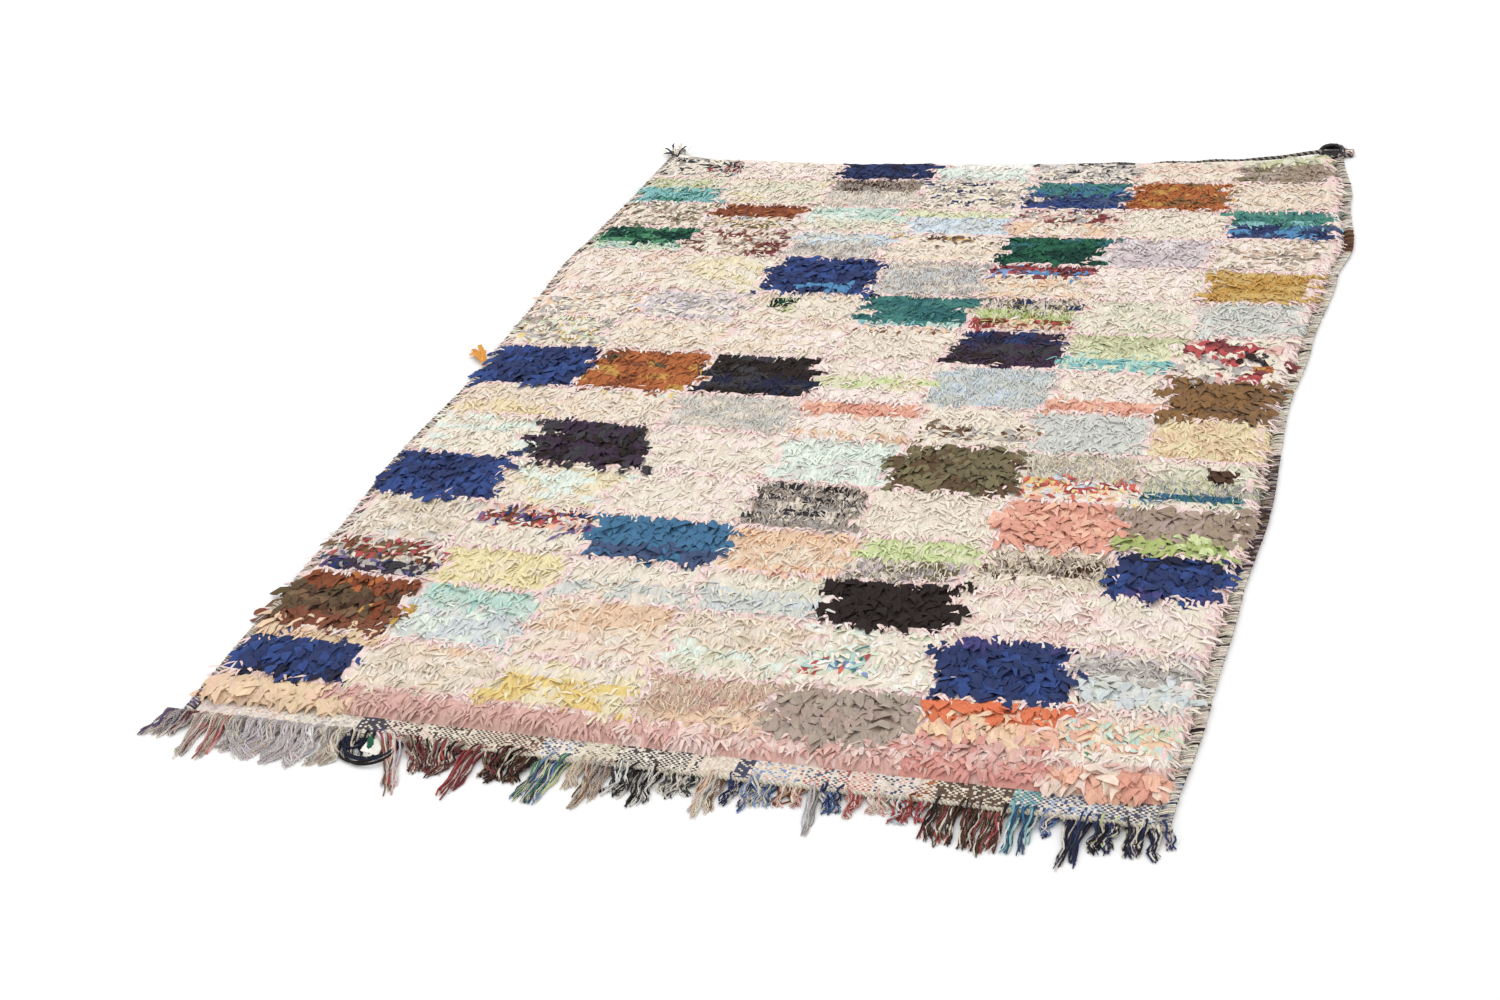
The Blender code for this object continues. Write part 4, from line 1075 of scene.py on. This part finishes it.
# The fringe. The warp ends in loose rag yarns of many colours, in tassels and tangled bunches,
# lying on the floor past the near cord.
BUNCHES = table(
    "root_from root_to tip_from tip_to reach yarns thick curl dyes",
    (-0.042, 0.000, -0.078, -0.022, 0.052, 22, 0.012, 0.003,
     "taupe lilacgrey cream grey purple maroon cream"),
    (0.000, 0.030, -0.002, 0.027, 0.090, 18, 0.008, 0.002, "crimson cream grey rose cream maroon"),
    (0.030, 0.062, 0.033, 0.058, 0.100, 18, 0.008, 0.002, "crimson cream rose cream grey"),
    (0.062, 0.092, 0.064, 0.088, 0.062, 22, 0.012, 0.008, "lilacgrey palelilac grey cream"),
    (0.092, 0.152, 0.094, 0.146, 0.084, 36, 0.012, 0.008, "lilac palelilac lilacgrey lilac cream"),
    (0.152, 0.222, 0.156, 0.218, 0.088, 40, 0.012, 0.008, "palelilac white lilac lilacgrey palelilac"),
    (0.222, 0.262, 0.228, 0.258, 0.078, 22, 0.011, 0.008, "beige palegrey cream grey"),
    (0.262, 0.308, 0.268, 0.322, 0.050, 12, 0.006, 0.002, "darknavy black white cream"),
    (0.308, 0.348, 0.364, 0.390, 0.116, 20, 0.007, 0.002, "cream crimson brown cream lilac rose"),
    (0.348, 0.458, 0.396, 0.450, 0.064, 54, 0.010, 0.005, "crimson maroon cream umber black maroon taupe"),
    (0.458, 0.492, 0.458, 0.488, 0.108, 20, 0.009, 0.002, "crimson maroon cream maroon"),
    (0.492, 0.582, 0.496, 0.566, 0.066, 44, 0.011, 0.005, "umber black brown cream maroon black"),
    (0.582, 0.628, 0.572, 0.614, 0.108, 26, 0.010, 0.003, "cornflower sage lime denim green cream"),
    (0.628, 0.656, 0.628, 0.652, 0.060, 12, 0.008, 0.003, "beige cream tan"),
    (0.656, 0.694, 0.662, 0.688, 0.092, 18, 0.009, 0.003, "taupe tan brown grey beige"),
    (0.694, 0.732, 0.700, 0.730, 0.060, 22, 0.012, 0.005, "black white charcoal white"),
    (0.732, 0.768, 0.738, 0.762, 0.082, 22, 0.012, 0.004, "black white grey black"),
    (0.768, 0.826, 0.772, 0.820, 0.046, 26, 0.011, 0.005, "black white charcoal ivory"),
    (0.826, 0.864, 0.826, 0.858, 0.086, 20, 0.008, 0.003, "peach brown cream lilac cream"),
    (0.864, 0.890, 0.866, 0.888, 0.048, 12, 0.009, 0.004, "navy darknavy navy cream"),
    (0.890, 0.938, 0.892, 0.934, 0.056, 24, 0.008, 0.004, "cream denim beige cornflower"),
    (0.938, 0.980, 0.940, 0.976, 0.047, 18, 0.008, 0.004, "peach rust cream rose"),
    (0.980, 1.000, 0.992, 1.008, 0.094, 8, 0.005, 0.002, "bluegrey grey palelilac"),
    (1.000, 1.036, 1.008, 1.036, 0.044, 16, 0.008, 0.004, "denim navy cream cornflower"),
    (1.036, 1.066, 1.042, 1.064, 0.056, 16, 0.008, 0.004, "crimson deeprose crimson cream"),
    (1.066, 1.100, 1.070, 1.098, 0.036, 14, 0.007, 0.004, "rose cream deeprose cream"),
    (1.100, 1.156, 1.104, 1.150, 0.048, 26, 0.009, 0.005, "crimson lightblue white crimson rust"),
    (1.156, 1.262, 1.158, 1.258, 0.090, 56, 0.009, 0.003,
     "umber black umber cream brown umber crimson cream umber"),
    (1.262, 1.304, 1.264, 1.296, 0.088, 22, 0.009, 0.002, "tealblue denim aqua aqua palemint denim"),
    (1.304, 1.334, 1.306, 1.328, 0.042, 14, 0.008, 0.004, "cornflower cream navy"),
    (1.334, 1.372, 1.334, 1.366, 0.094, 20, 0.009, 0.002, "navy darknavy charcoal navy cream"),
    (1.372, 1.412, 1.374, 1.410, 0.064, 24, 0.012, 0.005, "black darknavy navy black charcoal lime cream"),
    (1.412, 1.460, 1.414, 1.464, 0.066, 26, 0.009, 0.003, "darknavy black cream navy cream charcoal"),
    (1.460, 1.474, 1.468, 1.480, 0.036, 5, 0.006, 0.002, "navy cream"),
)
FRINGE_YARN = 0.0017
FRINGE_RINGS = 10
FRINGE_AROUND = 3
MIDDLE_HANG = 0.18
FRINGE_FULLNESS = 1.84
TASSEL_WIDTH = 0.015
OTHER_DYE = 0.14
FRINGE_LOWEST = 0.0001

# For a tassel, and for each yarn in it: the share of the bunch's reach, and the turns of its sway
TASSEL_REACH, YARN_REACH = (0.80, 1.02), (0.78, 1.03)
TASSEL_TURNS, YARN_TURNS = (0.8, 1.7), (1.2, 2.6)
TASSEL_DRIFT = 0.25
TIP_SCATTER = 0.0035

# The shares of yarns that start on the band and cross the cord: left of a place and right of it
OVER_CORD = (0.45, 0.10)
OVER_UNTIL = 0.46
OVER_BY = (0.001, 0.008)

# How high a yarn lies that starts on the band, crosses the cord and falls to the floor
CROSSING_PAST = (-0.016, -0.004, 0.004, 0.010, 0.030, 0.060)
CROSSING_HEIGHT = (0.0066, 0.0120, 0.0140, 0.0116, 0.0042, 0.0018)
UNDER_CORD = 0.004


def bunch_paths(bunch, chance):
    """The yarns of one bunch. Each runs from its place on the cord, or on the band behind it, to its
    place in one of the bunch's tassels; it sways in a growing wave with its tassel, humps over the
    yarns below it, and ends on the floor."""
    count = round(bunch.yarns * FRINGE_FULLNESS)
    size = (count, 1)
    share = (np.arange(count)[:, None] + chance.uniform(0.1, 0.9, size)) / count
    along = np.linspace(0, 1, FRINGE_RINGS)[None]
    start = bunch.root_from + (bunch.root_to - bunch.root_from) * share
    tassels = max(1, round((bunch.tip_to - bunch.tip_from) / TASSEL_WIDTH))
    tassel = np.floor(share * tassels + chance.normal(0, TASSEL_DRIFT, size))
    tassel = np.clip(tassel, 0, tassels - 1).astype(int)

    def of_tassels(least, most):
        return chance.uniform(least, most, (tassels, 1))[tassel[:, 0]]

    centre = (tassel + 0.5 + of_tassels(-TASSEL_DRIFT, TASSEL_DRIFT)) / tassels
    end = bunch.tip_from + (bunch.tip_to - bunch.tip_from) * centre + chance.normal(0, TIP_SCATTER, size)
    hang = of_tassels(*TASSEL_REACH) * chance.uniform(*YARN_REACH, size)
    reach = bunch.reach * (1 - MIDDLE_HANG * abs(2 * share - 1)) * hang
    wave = of_tassels(*TASSEL_TURNS) * along + of_tassels(0, 1)
    own = chance.uniform(*YARN_TURNS, size) * along + chance.uniform(0, 1, size)
    sway = bunch.curl * (np.sin(2 * np.pi * wave) + 0.8 * np.sin(2 * np.pi * own)) * along**0.6
    back = bunch.curl * 0.8 * np.cos(2 * np.pi * own * 1.3) * along * (1 - along)
    often = OVER_CORD[0] if bunch.root_to <= OVER_UNTIL else OVER_CORD[1]
    over = (chance.random(size) < often) * chance.uniform(*OVER_BY, size)
    x = FIELD_LEFT + start + (end - start) * along**0.8 + sway
    past = (reach + UNDER_CORD + over) * along - over + UNDER_CORD * (over == 0) * along
    layer = chance.uniform(0, 1, size)
    hump = np.minimum(along * 4, 1) * (1 - along) ** 0.8
    on_floor = FRINGE_YARN + 0.0002 + (1 - along) * 0.0022
    base = np.where(over > 0, np.interp(past, CROSSING_PAST, CROSSING_HEIGHT), on_floor)
    z = base + layer * (bunch.thick - FRINGE_YARN) * hump
    return np.stack((x, CORD_BACK - past + back, z + 0.0006 * np.sin(9 * along + 7 * layer)), -1)


chance = np.random.default_rng(41)
fringe_paths = [bunch_paths(bunch, chance) for bunch in BUNCHES]
fringe_dyes = []
for bunch, paths in zip(BUNCHES, fringe_paths):
    main, second = chance.choice(dye_numbers(bunch.dyes), (2, len(paths), 1))
    fringe_dyes.append(np.where(chance.random(paths.shape[:2]) < OTHER_DYE, second, main))
fringe_paths = np.concatenate(fringe_paths)
fringe_dyes = np.concatenate(fringe_dyes)
fringe_radius = FRINGE_YARN * chance.uniform(0.7, 1.3, (len(fringe_paths), 1))
fringe_radius = fringe_radius * np.linspace(1.15, 0.7, FRINGE_RINGS)
fringe_tubes = yarn_tubes(fringe_paths, fringe_radius, FRINGE_AROUND, (0.0, 0.0, 1.0))
fringe_tubes[..., 2] = np.maximum(fringe_tubes[..., 2], FRINGE_LOWEST)
fringe = yarn_piece("fringe_yarns", fringe_tubes, fringe_dyes, FRINGE_YARN, spun_yarn, chance)
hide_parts("near_fringe")

# Warp ends knotted back into loops, black and navy, with a green and a white scrap caught in them.
# For each loop: where it leaves and comes back, how far it reaches, and how high it lies
LOOP_RINGS = 22
LOOP_YARN = 0.0021
loop_share = np.linspace(0, 1, LOOP_RINGS)[None]
loops = np.array((
    (0.264, 0.346, 0.044, 0.0042), (0.268, 0.350, 0.050, 0.0060), (0.260, 0.340, 0.056, 0.0044),
    (0.262, 0.300, 0.030, 0.0080), (0.272, 0.354, 0.060, 0.0052), (0.254, 0.290, 0.022, 0.0060),
))[:, :, None]
loop_from, loop_to, loop_reach, loop_height = np.moveaxis(loops, 1, 0)
loop_x = (loop_from + loop_to) / 2 - (loop_to - loop_from) / 2 * np.cos(np.pi * loop_share)
loop_x = FIELD_LEFT + loop_x
loop_y = CORD_BACK - 0.002 - loop_reach * np.sin(np.pi * loop_share) ** 0.6
loop_z = loop_height + 0.0012 * np.sin(7 * loop_share + 40 * loop_reach)
loop_tubes = yarn_tubes(np.stack((loop_x, loop_y, loop_z), -1), LOOP_YARN, 5, (0.0, 0.0, 1.0))
loop_dyes = dye_numbers("black darknavy " * 3)
knotted_loops = yarn_piece(
    "knotted_loops", loop_tubes, loop_dyes, LOOP_YARN, spun_yarn, chance, 0.06)
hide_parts("near_fringe")
SCRAP_THICKNESS = 0.006
SCRAP_HEIGHTS = (0.0110, 0.0062, 0.0062, 0.0062, 0.0062)
scrap_root = np.array(((0.307, 0.002), (0.318, -0.002), (0.290, 0.002), (0.276, 0.004), (0.268, 0.002)))
scrap_root = np.column_stack((FIELD_LEFT + scrap_root[:, 0], CORD_BACK + scrap_root[:, 1], SCRAP_HEIGHTS))
scraps = bent_strips(
    scrap_root, np.array((0.15, -0.1, 0.3, -0.5, -0.9)), np.array((0.040, 0.044, 0.026, 0.030, 0.026)),
    np.array((0.010, 0.028, 0.011, 0.014, 0.012)), np.full(5, 0.25), np.full(5, 0.40), np.full(5, 0.12),
    RAGS[0]._replace(rings=7), WIDE_SECTION, chance)
scrap_dyes = dye_numbers("emerald white darknavy darknavy black")
scrap_piece = yarn_piece(
    "caught_scraps", scraps, scrap_dyes, SCRAP_THICKNESS, rag_cotton, chance, 0.03)
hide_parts("near_fringe")

# The far end. A dark and a paler yarn, twined together, finish the far edge: on the floor behind the
# pile, then up on it along the right third, to the corner's knot. Knotted yarn ends stand out at
# both corners.
FAR_CORD_RADIUS = 0.0019
FAR_CORD_STRAND = 0.0020
THICKER_AT_KNOT = 0.7
FAR_CORD_OUT = 0.0050
FAR_CORD_IN = 0.0045
FAR_CORD_WAVE = 0.0034
CORD_RISES = (0.88, 1.05)
CORD_LIFT = 0.0060
KNOT_END = 1.20
KNOT_END_LIFT = 0.0064
TUFT_YARNS = 22
TUFT_RAG = RAGS[1]._replace(rings=6)

chance = np.random.default_rng(51)
far_x = np.arange(FAR_EDGES[0].across - 0.012, FAR_EDGES[-1].across + 0.026, CORD_TWIST / CORD_STEPS)
risen = np.clip((far_x - CORD_RISES[0]) / (CORD_RISES[1] - CORD_RISES[0]), 0, 1)
on_pile = 0.5 - 0.5 * np.cos(np.pi * risen)
on_pile *= np.clip((FAR_EDGES[-1].across + 0.010 - far_x) / 0.04, 0, 1)
far_y = FIELD_NEAR + eased(FAR_EDGES, "along", far_x) + FAR_CORD_OUT - FAR_CORD_IN * on_pile
to_knot = np.clip((far_x - KNOT_END) / (FAR_EDGES[-1].across - KNOT_END), 0, 1)
far_wave = FAR_CORD_WAVE * np.sin(far_x * 45) * np.cos(far_x * 17) * (1 - to_knot)
far_strand = FAR_CORD_STRAND * (1 + THICKER_AT_KNOT * to_knot)
far_lift = (CORD_LIFT + KNOT_END_LIFT * to_knot + far_wave) * on_pile
far_yarns = twined(
    FIELD_LEFT + far_x, far_y, FAR_CORD_RADIUS + far_strand + 0.0003 + far_lift, FAR_CORD_RADIUS, far_strand,
    CORD_TWIST, 5)
far_dyes = dye_numbers("charcoal taupe")
far_cord = yarn_piece(
    "far_cord_yarns", far_yarns, far_dyes, FAR_CORD_STRAND, spun_yarn, chance, 0.03)
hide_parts("far_cord")


def corner_tuft(name, across, along, lean, reach, dyes, seed):
    """A knot of yarn ends at a far corner, fanned out past the edge and down to the floor."""
    chance = np.random.default_rng(seed)
    root = np.stack((
        FIELD_LEFT + across + chance.normal(0, 0.009, TUFT_YARNS),
        FIELD_NEAR + along + chance.normal(0, 0.006, TUFT_YARNS),
        np.full(TUFT_YARNS, 0.003)), -1)
    heading = np.pi + lean + chance.normal(0, 0.55, TUFT_YARNS)
    length = reach * chance.uniform(0.5, 1.0, TUFT_YARNS)
    width = chance.uniform(0.003, 0.006, TUFT_YARNS)
    lift, droop = chance.uniform(0.5, 1.1, TUFT_YARNS), chance.uniform(0.2, 0.6, TUFT_YARNS)
    arch = np.full(TUFT_YARNS, 0.5)
    points = bent_strips(root, heading, length, width, lift, droop, arch, TUFT_RAG, FOLDED_SECTION, chance)
    dye = chance.choice(dye_numbers(dyes), TUFT_YARNS)
    piece = yarn_piece(name, points, dye, 0.004, rag_cotton, chance)
    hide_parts("far_cord")
    return piece


left_tuft = corner_tuft(
    "left_corner_tuft", -0.035, 2.168, 0.35, 0.062, "black white grey cream charcoal", 61)
right_tuft = corner_tuft(
    "right_corner_tuft", 1.497, 2.190, -0.7, 0.040, "charcoal palepink black palepink rose", 62)

# The knot at the far right corner. The cord's end is wound round itself into a dark wad: each turn
# is a circle, tilted about X and turned about Z, and squashed to the wad's half sizes.
KNOT_AT = (1.482, 2.196, 0.0125)
KNOT_SIZE = (0.026, 0.030, 0.0095)
KNOT_TURNS = 24
KNOT_YARN = 0.0030
knot_turn = np.linspace(0, 2 * np.pi, 13)[None]
knot_tilt = chance.uniform(-1.1, 1.1, (KNOT_TURNS, 1))
knot_spin = chance.uniform(0, np.pi, (KNOT_TURNS, 1))
knot_cos, knot_sin = np.cos(knot_turn), np.sin(knot_turn)
knot_across = knot_cos * np.cos(knot_spin) - knot_sin * np.sin(knot_spin) * np.cos(knot_tilt)
knot_along = knot_cos * np.sin(knot_spin) + knot_sin * np.cos(knot_spin) * np.cos(knot_tilt)
knot_up = knot_sin * np.sin(knot_tilt)
knot_paths = np.stack((knot_across, knot_along, knot_up), -1) * KNOT_SIZE + KNOT_AT
knot_paths += (FIELD_LEFT, FIELD_NEAR, 0.0)
knot_tubes = yarn_tubes(knot_paths, KNOT_YARN, 5, (0.1, 0.05, 1.0))
knot_tubes[..., 2] = np.maximum(knot_tubes[..., 2], 0.0004)
knot_dyes = chance.choice(dye_numbers("charcoal charcoal black grey"), KNOT_TURNS)
corner_knot = yarn_piece("corner_knot", knot_tubes, knot_dyes, KNOT_YARN, spun_yarn, chance)
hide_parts("far_cord")

# The stray orange rag. A torn end of cotton jersey is caught under the left edge, and its strips fan
# out past it and curl down to the floor.
STRAY_RAGS = 9
STRAY_HEADING = 3.80
STRAY_LENGTH = 0.096
chance = np.random.default_rng(71)
spread_out = np.linspace(-1, 1, STRAY_RAGS)
stray_root = np.column_stack((
    FIELD_LEFT - 0.050 + chance.normal(0, 0.004, STRAY_RAGS), FIELD_NEAR + 1.100 + 0.008 * spread_out,
    chance.uniform(0.003, 0.007, STRAY_RAGS)))
stray_heading = STRAY_HEADING + 0.24 * spread_out + chance.normal(0, 0.08, STRAY_RAGS)
stray_length = STRAY_LENGTH - 0.034 * abs(spread_out) + chance.normal(0, 0.006, STRAY_RAGS)
stray = bent_strips(
    stray_root, stray_heading, stray_length, chance.uniform(0.005, 0.010, STRAY_RAGS),
    chance.uniform(0.30, 0.50, STRAY_RAGS), chance.uniform(0.40, 0.60, STRAY_RAGS), np.full(STRAY_RAGS, 0.30),
    RAGS[0]._replace(rings=9, torn=0.5), WIDE_SECTION, chance)
stray_dyes = dye_numbers("flame " * STRAY_RAGS)
stray_strip = yarn_piece(
    "stray_orange_strip", stray, stray_dyes, SCRAP_THICKNESS, rag_cotton, chance, 0.06)
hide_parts("loose_strip")
